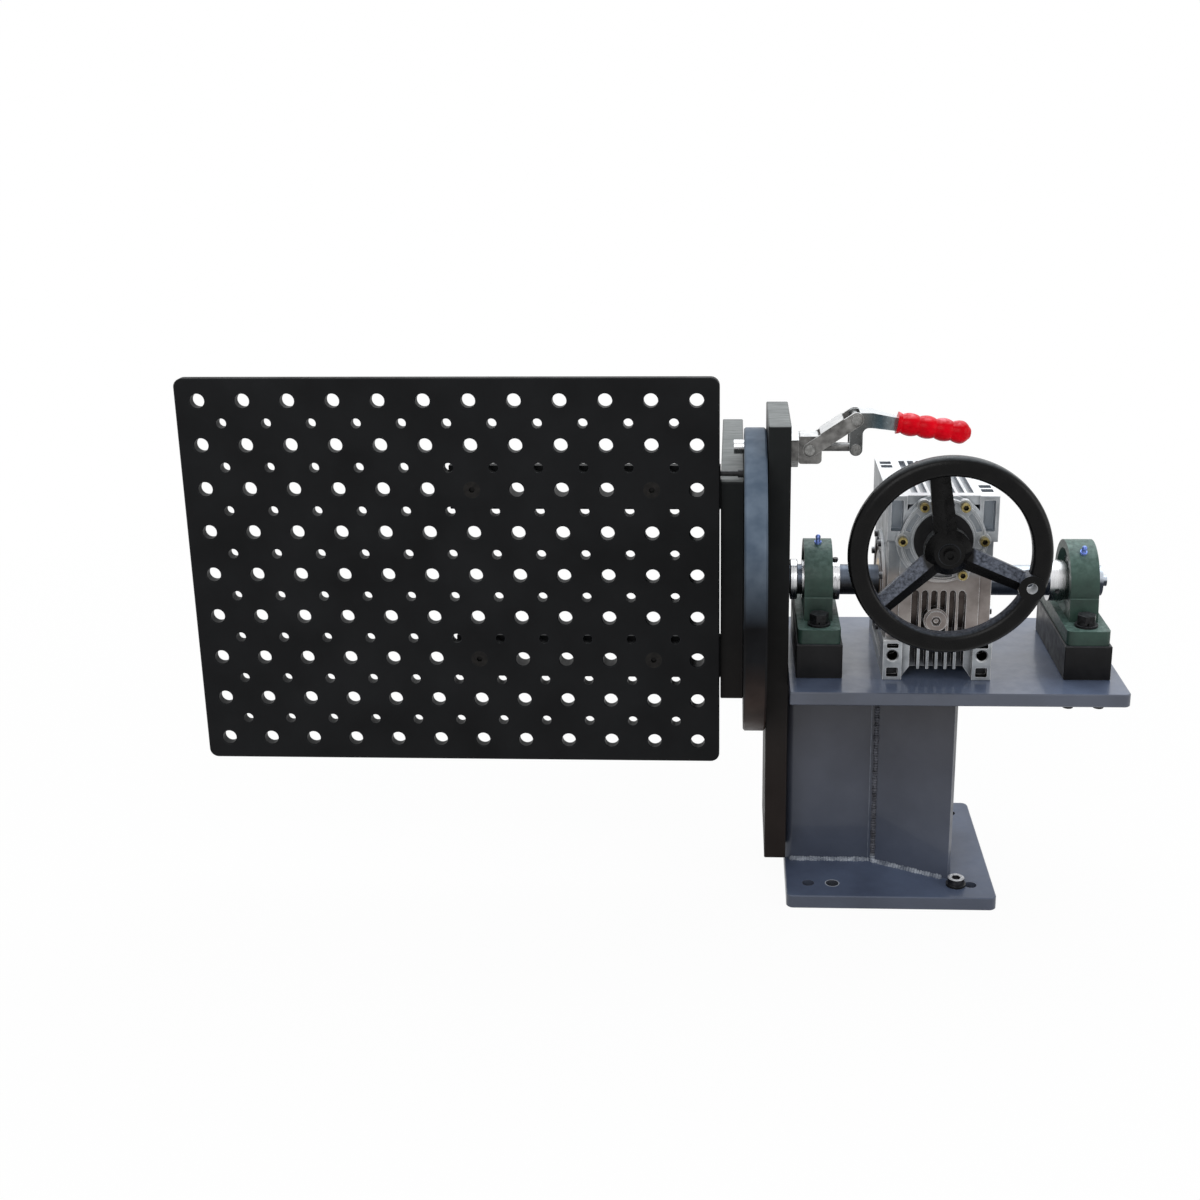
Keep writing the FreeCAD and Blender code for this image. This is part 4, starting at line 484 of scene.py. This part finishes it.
# Painted light: bright tops and dark sides, with painted shade in sockets and gaps.
bolt_shaded_side = clouded(tree, 160.0, (0.020, 0.020, 0.022), (0.085, 0.085, 0.09))
bolt_lit_top = clouded(tree, 260.0, (0.26, 0.27, 0.29), (0.66, 0.67, 0.69))
bolt_lit_tone = blended(tree, upward(tree, 0.5, 0.9), bolt_shaded_side, bolt_lit_top)
coloured(tree, shader, blended(tree, hollow(tree, 0.006, 0.3, 0.8), bolt_lit_tone, (0.02, 0.02, 0.022)))
roughened(tree, shader, noise(tree, 300.0), 0.22, 0.42)
bumped(tree, shader, noise(tree, 1500.0, 2.0), 0.15, 0.0002)
dress(zinc, "base_bolt", "gearbox_bolts", "output_cover_screws")

# ---- Index plate, disc, side plate, arms and perforated table ----
# Cut steel plate, blackened in hot oxide: a deep, even, slightly greasy black. The sawn upper ends
# of the index plate and the side plate are left almost bare, so they are pale grey, and their
# faces are browner low down.
OXIDE_DARK, OXIDE_LIGHT = (0.0042, 0.0044, 0.0050), (0.0085, 0.0090, 0.0100)
black_oxide, tree, shader = new_surface("black_oxide_plate", OXIDE_LIGHT, 0.42, 0.0, 0.0, 0.09)
oxide = clouded(tree, 14.0, OXIDE_DARK, OXIDE_LIGHT)
# A paler painted highlight along the edges.
coloured(tree, shader, blended(tree, edges(tree, 0.0009, 60.0), oxide, (0.032, 0.036, 0.041)))
roughened(tree, shader, noise(tree, 35.0, 6.0), 0.38, 0.54)
bumped(tree, shader, noise(tree, 700.0, 3.0), 0.06, 0.0003)
dress(black_oxide, "arm_lower", "arm_upper", "table_plate")

sawn_oxide, tree, shader = new_surface("sawn_end_oxide_plate", OXIDE_LIGHT, 0.42, 0.0, 0.0, 0.09)
saw_lines = noise(tree, 60.0, 5.0, 0.6, (0.6, 9.0, 1.0))
saw_tone = ranged(tree, saw_lines, *NOISE_SPAN)
sawn_end = blended(tree, saw_tone, (0.115, 0.125, 0.125), (0.30, 0.315, 0.315))
brown_face = clouded(tree, 14.0, (0.0105, 0.0075, 0.0068), (0.0180, 0.0135, 0.0120))
green_face = clouded(tree, 14.0, (0.0070, 0.0080, 0.0085), (0.0135, 0.0150, 0.0155))
face_by_height = blended(tree, height(tree, 0.12, 0.40), brown_face, green_face)
sawn_tone = blended(tree, upward(tree, 0.5, 0.8), face_by_height, sawn_end)
# A paler painted highlight along the edges.
coloured(tree, shader, blended(tree, edges(tree, 0.0010, 40.0), sawn_tone, (0.050, 0.052, 0.052)))
roughened(tree, shader, noise(tree, 35.0, 6.0), 0.38, 0.54)
bumped(tree, shader, saw_lines, 0.12, 0.0004)
dress(sawn_oxide, "index_plate", "side_plate")

turned_black, tree, shader = new_surface(
    "black_turned_disc", (0.008, 0.008, 0.009), 0.36, 0.0, 0.0, 0.03)
RING_SCALE, RING_WANDER = 160.0, 0.6
disc_low, disc_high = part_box("faceplate_disc")
where = tree.nodes.new("ShaderNodeTexCoord")
offset = tree.nodes.new("ShaderNodeMapping")
offset.inputs["Location"].default_value = -(disc_low + disc_high) / 2
rings = tree.nodes.new("ShaderNodeTexWave")
rings.wave_type, rings.rings_direction = "RINGS", "X"
rings.inputs["Scale"].default_value = RING_SCALE
rings.inputs["Distortion"].default_value = RING_WANDER
tree.links.new(where.outputs["Object"], offset.inputs["Vector"])
tree.links.new(offset.outputs["Vector"], rings.inputs["Vector"])
# Painted light: bluish sky reflection on the upper side, warm brown reflected light below.
turned_face = clouded(tree, 18.0, (0.0055, 0.0055, 0.0062), (0.0110, 0.0115, 0.0130))
disc_sky_reflection = clouded(tree, 30.0, (0.070, 0.098, 0.140), (0.150, 0.190, 0.245), 3.0)
disc_low_reflection = clouded(tree, 24.0, (0.022, 0.015, 0.013), (0.044, 0.031, 0.027))
disc_sky_lit = blended(tree, upward(tree, 0.0, 0.5), turned_face, disc_sky_reflection)
coloured(tree, shader, blended(tree, upward(tree, -0.22, -0.55), disc_sky_lit, disc_low_reflection))
roughened(tree, shader, noise(tree, 40.0), 0.28, 0.44)
bumped(tree, shader, rings.outputs["Fac"], 0.05, 0.0002)
dress(turned_black, "faceplate_disc")

# ---- Black fasteners ----
# Oxide-blackened steel screws, bolts, nuts and washers, a little oily; painted light greys their tops.
oily_black, tree, shader = new_surface(
    "oily_black_screw", (0.012, 0.012, 0.013), 0.36, 0.3, 0.0, 0.2)
screw_shaded_side = clouded(tree, 220.0, (0.006, 0.006, 0.0065), (0.024, 0.024, 0.026))
screw_lit_top = clouded(tree, 300.0, (0.020, 0.021, 0.023), (0.075, 0.078, 0.085))
coloured(tree, shader, blended(tree, upward(tree, 0.6, 0.9), screw_shaded_side, screw_lit_top))
roughened(tree, shader, noise(tree, 420.0), 0.28, 0.48)
bumped(tree, shader, noise(tree, 1600.0, 2.0), 0.15, 0.0002)
dress(oily_black, "index_plate_screws", "disc_screws", "arm_screws", "spacer_studs", "spacer_nuts",
      "pillow_bolts", "pillow_washers", "base_washer")

SOCKET_SHADE = (0.0015, 0.0015, 0.0015)
flush_black, tree, shader = new_surface(
    "black_flush_screw", (0.006, 0.006, 0.006), 0.4, 0.0, 0.0, 0.12)
flush_tone = clouded(tree, 160.0, (0.0045, 0.0043, 0.0042), (0.0150, 0.0135, 0.0125))
# Painted shade, near black, in the sockets.
coloured(tree, shader, blended(tree, hollow(tree, 0.006, 0.4, 0.85), flush_tone, SOCKET_SHADE))
roughened(tree, shader, noise(tree, 420.0), 0.3, 0.5)
bumped(tree, shader, noise(tree, 1600.0, 2.0), 0.12, 0.0002)
dress(flush_black, "table_bolts")

# ---- Stud threads ----
# The ends of the studs that hold the spacer blocks hang under the shelf past their nuts, with
# rolled metric threads that stand just proud of the plain shank.
THREAD_PITCH, THREAD_RIDGE, THREAD_SIDES, RIDGE_SIDES = 0.00175, 0.0007, 20, 4
STUD_R, STUD_END = 0.006, 0.010
threads, given = new_tree("rolled_threads", Radius=("NodeSocketFloat", STUD_R),
                          Length=("NodeSocketFloat", STUD_END),
                          Pitch=("NodeSocketFloat", THREAD_PITCH),
                          Ridge=("NodeSocketFloat", THREAD_RIDGE))
winding = threads.nodes.new("GeometryNodeCurveSpiral")
winding.inputs["Resolution"].default_value = THREAD_SIDES
turns = threads.nodes.new("ShaderNodeMath")
turns.operation = "DIVIDE"
crest = threads.nodes.new("GeometryNodeCurvePrimitiveCircle")
crest.inputs["Resolution"].default_value = RIDGE_SIDES
swept = threads.nodes.new("GeometryNodeCurveToMesh")
swept.inputs["Fill Caps"].default_value = True
placed = threads.nodes.new("GeometryNodeInstanceOnPoints")
threads.links.new(given["Length"], turns.inputs[0])
threads.links.new(given["Pitch"], turns.inputs[1])
threads.links.new(turns.outputs[0], winding.inputs["Rotations"])
threads.links.new(given["Radius"], winding.inputs["Start Radius"])
threads.links.new(given["Radius"], winding.inputs["End Radius"])
threads.links.new(given["Length"], winding.inputs["Height"])
threads.links.new(given["Ridge"], crest.inputs["Radius"])
threads.links.new(winding.outputs[0], swept.inputs["Curve"])
threads.links.new(crest.outputs[0], swept.inputs["Profile Curve"])
threads.links.new(given["Guide"], placed.inputs["Points"])
threads.links.new(swept.outputs[0], placed.inputs["Instance"])
close_tree(threads, placed.outputs[0], oily_black)

nut_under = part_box("spacer_nuts")[0].z
stud_low, stud_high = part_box("spacer_studs")
stud_ends = [(x, y, stud_low.z + THREAD_RIDGE)
             for x in (stud_low.x + STUD_R, stud_high.x - STUD_R)
             for y in (stud_low.y + STUD_R, stud_high.y - STUD_R)]
stud_threads = grown("stud_threads", stud_ends, [], threads, Radius=STUD_R - THREAD_RIDGE / 2,
                     Length=nut_under - stud_low.z - 2 * THREAD_RIDGE)
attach(stud_threads, "base")

# ---- Spacer blocks ----
# Two milled steel blocks under the pillow blocks, sprayed satin black; painted light makes their
# tops paler, and their edges carry a brown-grey painted highlight.
satin_black, tree, shader = new_surface(
    "satin_black_block", (0.008, 0.008, 0.009), 0.38, 0.0, 0.0, 0.15)
block_shaded_side = clouded(tree, 40.0, (0.0050, 0.0050, 0.0056), (0.0110, 0.0110, 0.0120))
block_lit_top = clouded(tree, 60.0, (0.020, 0.022, 0.026), (0.042, 0.046, 0.054))
block_lit_tone = blended(tree, upward(tree, 0.5, 0.9), block_shaded_side, block_lit_top)
coloured(tree, shader, blended(tree, edges(tree, 0.0010, 70.0), block_lit_tone, (0.115, 0.112, 0.108)))
roughened(tree, shader, noise(tree, 80.0), 0.3, 0.46)
bumped(tree, shader, noise(tree, 600.0, 3.0), 0.1, 0.0003)
dress(satin_black, "spacer_left", "spacer_right")

# ---- Pillow block housings ----
# Grey iron castings in blue-green machine paint: the sand's grain shows through the paint, and
# a painted highlight makes the level faces paler.
green_cast, tree, shader = new_surface("green_casting", (0.020, 0.046, 0.036), 0.45, 0.0, 0.05, 0.3)
grain = noise(tree, 260.0, 5.0, 0.6)
mottle = clouded(tree, 34.0, (0.014, 0.032, 0.025), (0.034, 0.074, 0.057))
pale = clouded(tree, 180.0, (0.040, 0.080, 0.068), (0.125, 0.205, 0.180), 6.0)
coloured(tree, shader, blended(tree, upward(tree, 0.25, 0.95), mottle, pale))
roughened(tree, shader, grain, 0.34, 0.6)
bumped(tree, shader, grain, 0.35, 0.0008)
dress(green_cast, "pillow_housing_left", "pillow_housing_right")

# ---- Insert bearings and shaft ring ----
# Ground and turned bearing steel, with fine turning lines about the shaft; painted light makes
# its tops bright and painted shade its undersides dark.
ground_steel, tree, shader = new_surface("ground_steel", (0.5, 0.5, 0.52), 0.26, 1.0)
ALONG_TURNING = (1.0, 0.05, 0.05)
turning = noise(tree, 260.0, 4.0, 0.6, (1.0, 0.04, 0.04))
ground_shaded = blended(tree, turning, (0.12, 0.12, 0.125), (0.40, 0.40, 0.41))
ground_lit = blended(tree, turning, (0.58, 0.59, 0.61), (0.92, 0.92, 0.93))
coloured(tree, shader, blended(tree, upward(tree, -0.35, 0.55), ground_shaded, ground_lit))
roughened(tree, shader, noise(tree, 500.0, 3.0, 0.6, ALONG_TURNING), 0.18, 0.36)
bumped(tree, shader, turning, 0.05, 0.0002)
dress(ground_steel, "bearing_outer_left", "bearing_outer_right", "bearing_inner_left",
      "bearing_inner_right", "shaft_ring", "index_bush", "gearbox_bearings")

socket_steel, tree, shader = new_surface("dark_set_screw", (0.05, 0.05, 0.052), 0.4, 0.7, 0.0, 0.3)
coloured(tree, shader, clouded(tree, 300.0, (0.012, 0.012, 0.013), (0.09, 0.09, 0.095)))
bumped(tree, shader, noise(tree, 1600.0, 2.0), 0.12, 0.0002)
dress(socket_steel, "bearing_set_screws")

# ---- Grease nipples ----
# Small steel nipples with blue-tinted zinc.
blue_zinc, tree, shader = new_surface("blue_zinc", (0.10, 0.16, 0.60), 0.34, 0.5)
coloured(tree, shader, clouded(tree, 260.0, (0.060, 0.120, 0.46), (0.34, 0.46, 0.90)))
roughened(tree, shader, noise(tree, 500.0), 0.26, 0.44)
bumped(tree, shader, noise(tree, 1500.0, 2.0), 0.1, 0.0002)
dress(blue_zinc, "grease_nipples")

# ---- Gearbox ----
# A pressure die-cast aluminium worm gearbox, shot-blasted and left bare: finely grained skin,
# painted bright above as light, greyer sides, a warmer ribbed panel, painted shade in its pockets
# and gaps that is near black low down between its fins, and painted highlights on its edges.
die_cast, tree, shader = new_surface("bare_die_casting", (0.42, 0.43, 0.44), 0.32, 0.45, 0.0, 0.3)
skin = noise(tree, 520.0, 4.0, 0.6)
FOOT_TOP, PANEL_TOP = (0.312, 0.320), (0.385, 0.400)
cast_side = clouded(tree, 34.0, (0.215, 0.230, 0.245), (0.50, 0.525, 0.55), 6.0)
cast_low = clouded(tree, 30.0, (0.20, 0.172, 0.160), (0.40, 0.365, 0.345), 6.0)
cast_lit_top = clouded(tree, 45.0, (0.76, 0.79, 0.82), (0.95, 0.96, 0.97), 6.0)
above_foot, above_panel = height(tree, *FOOT_TOP), height(tree, *PANEL_TOP)


def by_height(feet, panel, upper):
    """One tone for the gearbox's feet, one for its ribbed panel and one above that."""
    return blended(tree, above_panel, blended(tree, above_foot, feet, panel), upper)


cast_upright = by_height(cast_side, cast_low, cast_side)
cast_open_lit = blended(tree, upward(tree, 0.35, 0.9), cast_upright, cast_lit_top)
# Painted shade for pockets and gaps, by height: near black low down between the fins, dark brown in the panel,
# light grey high up, painted as if light reaches into them.
shaded = by_height((0.090, 0.092, 0.098), (0.100, 0.074, 0.064), (0.240, 0.265, 0.290))
shut = by_height((0.003, 0.003, 0.0034), (0.016, 0.012, 0.010), (0.330, 0.370, 0.420))
POCKET_REACH = 0.024
part_shut = blended(tree, hollow(tree, POCKET_REACH, 0.42, 0.90), cast_open_lit, shaded)
gap_tone = blended(tree, hollow(tree, POCKET_REACH, 0.22, 0.50), part_shut, shut)
# A near-white painted highlight along the edges.
coloured(tree, shader, blended(tree, edges(tree, 0.0012, 120.0), gap_tone, (0.90, 0.91, 0.92)))
roughened(tree, shader, skin, 0.3, 0.52)
bumped(tree, shader, skin, 0.25, 0.0004)
dress(die_cast, "gearbox_housing", "output_cover_left", "output_cover_right", "input_flange",
      "rear_cap", "level_plug")

yellow_zinc, tree, shader = new_surface("yellow_zinc", (0.40, 0.30, 0.10), 0.32, 0.85)
gold = clouded(tree, 220.0, (0.150, 0.105, 0.030), (0.46, 0.39, 0.17))
# Painted shade, near black, in the screws' sockets.
coloured(tree, shader, blended(tree, hollow(tree, 0.008, 0.45, 0.9), gold, (0.012, 0.009, 0.005)))
roughened(tree, shader, noise(tree, 500.0), 0.24, 0.42)
bumped(tree, shader, noise(tree, 1500.0, 2.0), 0.1, 0.0002)
dress(yellow_zinc, "input_flange_screws")

seal_rubber, tree, shader = new_surface(
    "black_seal_rubber", (0.008, 0.008, 0.009), 0.5, 0.0, 0.0, 0.2)
roughened(tree, shader, noise(tree, 300.0), 0.4, 0.62)
coloured(tree, shader, clouded(tree, 90.0, (0.006, 0.006, 0.0066), (0.014, 0.014, 0.015)))
bumped(tree, shader, noise(tree, 900.0, 2.0), 0.1, 0.0003)
dress(seal_rubber, "input_seal")

wheel_bronze, tree, shader = new_surface("gear_bronze", (0.5, 0.32, 0.14), 0.35, 1.0)
coloured(tree, shader, clouded(tree, 120.0, (0.42, 0.26, 0.1), (0.6, 0.4, 0.18)))
bumped(tree, shader, noise(tree, 900.0, 2.0), 0.1, 0.0002)
dress(wheel_bronze, "worm_wheel")

# ---- Shaft and keys ----
# A turned steel shaft with an oil-dark skin, keyed to the disc and to the gearbox's hollow hub;
# painted sky light makes its upper side lighter and painted shade its lower side darker, with a
# bright painted highlight on top past the gearbox.
dark_steel, tree, shader = new_surface("dark_turned_steel", (0.06, 0.07, 0.085), 0.3, 0.6, 0.0, 0.3)
shaft_lines = noise(tree, 200.0, 5.0, 0.6, ALONG_TURNING)
shaft_shaded = blended(tree, shaft_lines, (0.007, 0.007, 0.008), (0.022, 0.023, 0.026))
shaft_sky_lit = blended(tree, shaft_lines, (0.075, 0.095, 0.130), (0.185, 0.215, 0.270))
BRIGHT_FROM = (0.104, 0.106)
past_gearbox = ranged(tree, place_along(tree, "X"), *BRIGHT_FROM)
past_gearbox_shaded = blended(tree, shaft_lines, (0.012, 0.016, 0.024), (0.05, 0.06, 0.08))
past_gearbox_lit = blended(tree, shaft_lines, (0.36, 0.41, 0.48), (0.70, 0.75, 0.82))
shaft_lit_tone = blended(tree, upward(tree, -0.05, 0.75), shaft_shaded, shaft_sky_lit)
past_gearbox_tone = blended(tree, upward(tree, 0.10, 0.45), past_gearbox_shaded, past_gearbox_lit)
coloured(tree, shader, blended(tree, past_gearbox, shaft_lit_tone, past_gearbox_tone))
roughened(tree, shader, noise(tree, 320.0, 4.0, 0.6, ALONG_TURNING), 0.25, 0.45)
bumped(tree, shader, shaft_lines, 0.05, 0.0002)
dress(dark_steel, "main_shaft", "shaft_keys", "worm_shaft", "handwheel_key")

# ---- Handwheel ----
# An iron casting with three ridged spokes, dipped in black enamel over the sand's grain; a dull
# blue-grey painted sky reflection lies on whatever faces up. The boss on its rim is bored for a
# crank grip.
gloss_black, tree, shader = new_surface(
    "black_wheel_enamel", (0.003, 0.003, 0.0034), 0.26, 0.0, 0.0, 0.12)
hub = next(joint["pos_m"] for joint in frame["joints"] if joint["name"] == "handwheel_turn")
enamel_black = clouded(tree, 60.0, (0.0016, 0.0016, 0.0018), (0.0042, 0.0040, 0.0040))
sky_reflection = clouded(tree, 300.0, (0.030, 0.034, 0.044), (0.135, 0.150, 0.190), 3.0)
faint_sky_reflection = clouded(tree, 200.0, (0.030, 0.034, 0.040), (0.070, 0.078, 0.084), 3.0)
HUB_REACH, RIM_REACH = (0.026, 0.030), (0.085, 0.088)
past_hub = reach_from(tree, hub, UPRIGHT_PLANE, *HUB_REACH)
on_rim = reach_from(tree, hub, UPRIGHT_PLANE, *RIM_REACH)
spoke_sky_reflection = blended(tree, times(tree, upward(tree, 0.34, 0.5), past_hub), enamel_black, sky_reflection)
rim_sky_reflection = blended(tree, upward(tree, 0.6, 0.95), enamel_black, faint_sky_reflection)
skin_tone = blended(tree, on_rim, spoke_sky_reflection, rim_sky_reflection)
BORE_REACH = (0.0056, 0.0058)
bore = next(mount["pos_m"] for mount in frame["record"]["mounts"]
            if mount["name"] == "handwheel_grip_hole")
past_bore = reach_from(tree, bore, UPRIGHT_PLANE, *BORE_REACH)
coloured(tree, shader, blended(tree, past_bore, (0.52, 0.53, 0.55), skin_tone))
roughened(tree, shader, noise(tree, 90.0, 4.0), 0.2, 0.36)
bumped(tree, shader, noise(tree, 420.0, 3.0), 0.28, 0.0005)
dress(gloss_black, "handwheel", "handwheel_screw")

# ---- Toggle clamp ----
# A push-pull clamp of pressed and turned steel, zinc plated: dull grey sides, painted light on
# upward faces, painted highlights on edges, painted shade in gaps and crevices, and a bluish lever.
# Its body is a casting with a threaded nose, held in the index plate by a nut.
clamp_zinc, tree, shader = new_surface("clamp_zinc", (0.2, 0.2, 0.2), 0.34, 0.35, 0.0, 0.25)
clamp_shaded_side = clouded(tree, 90.0, (0.085, 0.083, 0.080), (0.300, 0.295, 0.285), 7.0)
glint = clouded(tree, 120.0, (0.66, 0.67, 0.68), (0.92, 0.92, 0.92))
# Painted shade for gaps and crevices.
GAP_SHADE, CREVICE_SHADE = (0.035, 0.034, 0.034), (0.030, 0.029, 0.028)
lit = blended(tree, upward(tree, 0.3, 0.8), clamp_shaded_side, glint)
gap_shaded = blended(tree, hollow(tree, 0.012, 0.25, 0.7), lit, GAP_SHADE)
edge_lit = blended(tree, edges(tree, 0.0009, 120.0), gap_shaded, (0.62, 0.62, 0.61))
coloured(tree, shader, blended(tree, hollow(tree, 0.0030, 0.45, 0.80), edge_lit, CREVICE_SHADE))
roughened(tree, shader, noise(tree, 240.0, 4.0), 0.28, 0.5)
bumped(tree, shader, noise(tree, 800.0, 3.0), 0.15, 0.0003)
dress(clamp_zinc, "clamp_body", "clamp_nut", "clamp_link", "clamp_plunger")

rivet_zinc, tree, shader = new_surface("rivet_zinc", (0.4, 0.4, 0.4), 0.3, 0.7, 0.0, 0.4)
# Painted light: a dark painted shade ring round each rivet's edge and a bright painted top.
head_face = clouded(tree, 260.0, (0.15, 0.15, 0.145), (0.32, 0.32, 0.31))
head_edge_shade = blended(tree, edges(tree, 0.0012, 60.0), head_face, (0.030, 0.030, 0.029))
coloured(tree, shader, blended(tree, upward(tree, 0.1, 0.8), head_edge_shade, (0.88, 0.88, 0.88)))
roughened(tree, shader, noise(tree, 500.0), 0.24, 0.42)
bumped(tree, shader, noise(tree, 1200.0, 2.0), 0.12, 0.0002)
dress(rivet_zinc, "clamp_pivot_pins", "link_rivet", "handle_rivets")

lever_zinc, tree, shader = new_surface("lever_blue_zinc", (0.25, 0.28, 0.30), 0.22, 0.7, 0.0, 0.4)
# A painted reflection running along the lever: dull grey by the ears, bluish, paler by the grip; painted
# highlights on its top and edges.
REFLECTION_DULL, REFLECTION_BLUE = (0.125, 0.130, 0.130), (0.070, 0.105, 0.125)
REFLECTION_PALE = (0.30, 0.34, 0.355)
PAST_EARS, NEAR_GRIP = (-0.036, -0.022), (-0.018, -0.006)
along_lever = place_along(tree, "X")
past_ears = blended(tree, ranged(tree, along_lever, *PAST_EARS), REFLECTION_DULL, REFLECTION_BLUE)
lever_side = blended(tree, ranged(tree, along_lever, *NEAR_GRIP), past_ears, REFLECTION_PALE)
lever_tone = blended(tree, upward(tree, 0.3, 0.8), lever_side, (0.80, 0.83, 0.86))
coloured(tree, shader, blended(tree, edges(tree, 0.0009, 120.0), lever_tone, (0.70, 0.74, 0.76)))
roughened(tree, shader, noise(tree, 200.0), 0.16, 0.32)
bumped(tree, shader, noise(tree, 900.0, 2.0), 0.08, 0.0002)
dress(lever_zinc, "clamp_handle")

# ---- Grip ----
# Red vinyl, dipped on the lever in four finger lobes: glossy, faintly dimpled, with a pink painted
# highlight where it looks up and a darker red painted shade where it looks down.
RED_LIT = (0.96, 0.24, 0.28)
red_vinyl, tree, shader = new_surface(
    "red_dipped_vinyl", (0.80, 0.012, 0.022), 0.22, 0.0, 0.0, 0.07)
deep_red = clouded(tree, 60.0, (0.52, 0.0004, 0.006), (0.76, 0.001, 0.011), 2.0)
broken_light = ranged(tree, noise(tree, 90.0, 2.0), 0.42, 0.55, 0.25, 1.0)
lit_red = blended(tree, times(tree, upward(tree, 0.62, 0.97), broken_light), deep_red, RED_LIT)
coloured(tree, shader, blended(tree, upward(tree, -0.45, -0.95), lit_red, (0.40, 0.010, 0.020)))
roughened(tree, shader, noise(tree, 300.0), 0.2, 0.36)
bumped(tree, shader, noise(tree, 160.0, 2.0), 0.12, 0.0006)
dress(red_vinyl, "clamp_grip")

GRIP_START, GRIP_END = (0.0003, 0.0, 0.5427), (0.0834, 0.0, 0.5299)
GRIP_PEAK, GRIP_VALLEY, LOBE_COUNT, LOBE_PHASE, TIP_FROM = 0.0131, 0.0106, 4.45, -0.28, 0.86
LOBE_FULLNESS, TIP_SHARE, GRIP_RINGS, GRIP_SIDES = 0.75, 0.04, 110, 40
lobes, given = new_tree("finger_lobes", Peak=("NodeSocketFloat", GRIP_PEAK),
                        Valley=("NodeSocketFloat", GRIP_VALLEY),
                        Lobes=("NodeSocketFloat", LOBE_COUNT),
                        Phase=("NodeSocketFloat", LOBE_PHASE), Tip=("NodeSocketFloat", TIP_FROM))
rings_along = lobes.nodes.new("GeometryNodeResampleCurve")
rings_along.inputs["Count"].default_value = GRIP_RINGS
lever_line = lobes.nodes.new("GeometryNodeMeshToCurve")
share = lobes.nodes.new("GeometryNodeSplineParameter").outputs["Factor"]


def sum_of(operation, *terms):
    """One Math node of the grip's tree; each term is a number or a socket."""
    step = lobes.nodes.new("ShaderNodeMath")
    step.operation = operation
    for slot, term in zip(step.inputs, terms):
        if isinstance(term, (int, float)):
            slot.default_value = term
        else:
            lobes.links.new(term, slot)
    return step.outputs[0]


angle = sum_of("MULTIPLY", math.pi, sum_of("MULTIPLY_ADD", share, given["Lobes"], given["Phase"]))
wave = sum_of("ABSOLUTE", sum_of("SINE", angle))
rise = sum_of("SUBTRACT", given["Peak"], given["Valley"])
swell = sum_of("MULTIPLY", sum_of("POWER", wave, LOBE_FULLNESS), rise)
over = sum_of("MAXIMUM", sum_of("SUBTRACT", share, given["Tip"]), 0.0)
past_tip = sum_of("DIVIDE", over, sum_of("SUBTRACT", 1.0, given["Tip"]))
ball = sum_of("SQRT", sum_of("SUBTRACT", 1.0, sum_of("MULTIPLY", past_tip, past_tip)))
dome = sum_of("MAXIMUM", ball, TIP_SHARE)
grip_radius = sum_of("MULTIPLY", dome, sum_of("ADD", given["Valley"], swell))
round_section = lobes.nodes.new("GeometryNodeCurvePrimitiveCircle")
round_section.inputs["Resolution"].default_value = GRIP_SIDES
round_section.inputs["Radius"].default_value = 1.0
skinned = lobes.nodes.new("GeometryNodeCurveToMesh")
skinned.inputs["Fill Caps"].default_value = True
soft = lobes.nodes.new("GeometryNodeSetShadeSmooth")
lobes.links.new(given["Guide"], lever_line.inputs[0])
lobes.links.new(lever_line.outputs[0], rings_along.inputs["Curve"])
lobes.links.new(rings_along.outputs[0], skinned.inputs["Curve"])
lobes.links.new(grip_radius, skinned.inputs["Scale"])
lobes.links.new(round_section.outputs[0], skinned.inputs["Profile Curve"])
lobes.links.new(skinned.outputs[0], soft.inputs[0])
close_tree(lobes, soft.outputs[0], red_vinyl)
dipped_grip = grown("dipped_grip", [GRIP_START, GRIP_END], [(0, 1)], lobes)
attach(dipped_grip, "clamp_handle_body")
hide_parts("clamp_grip")
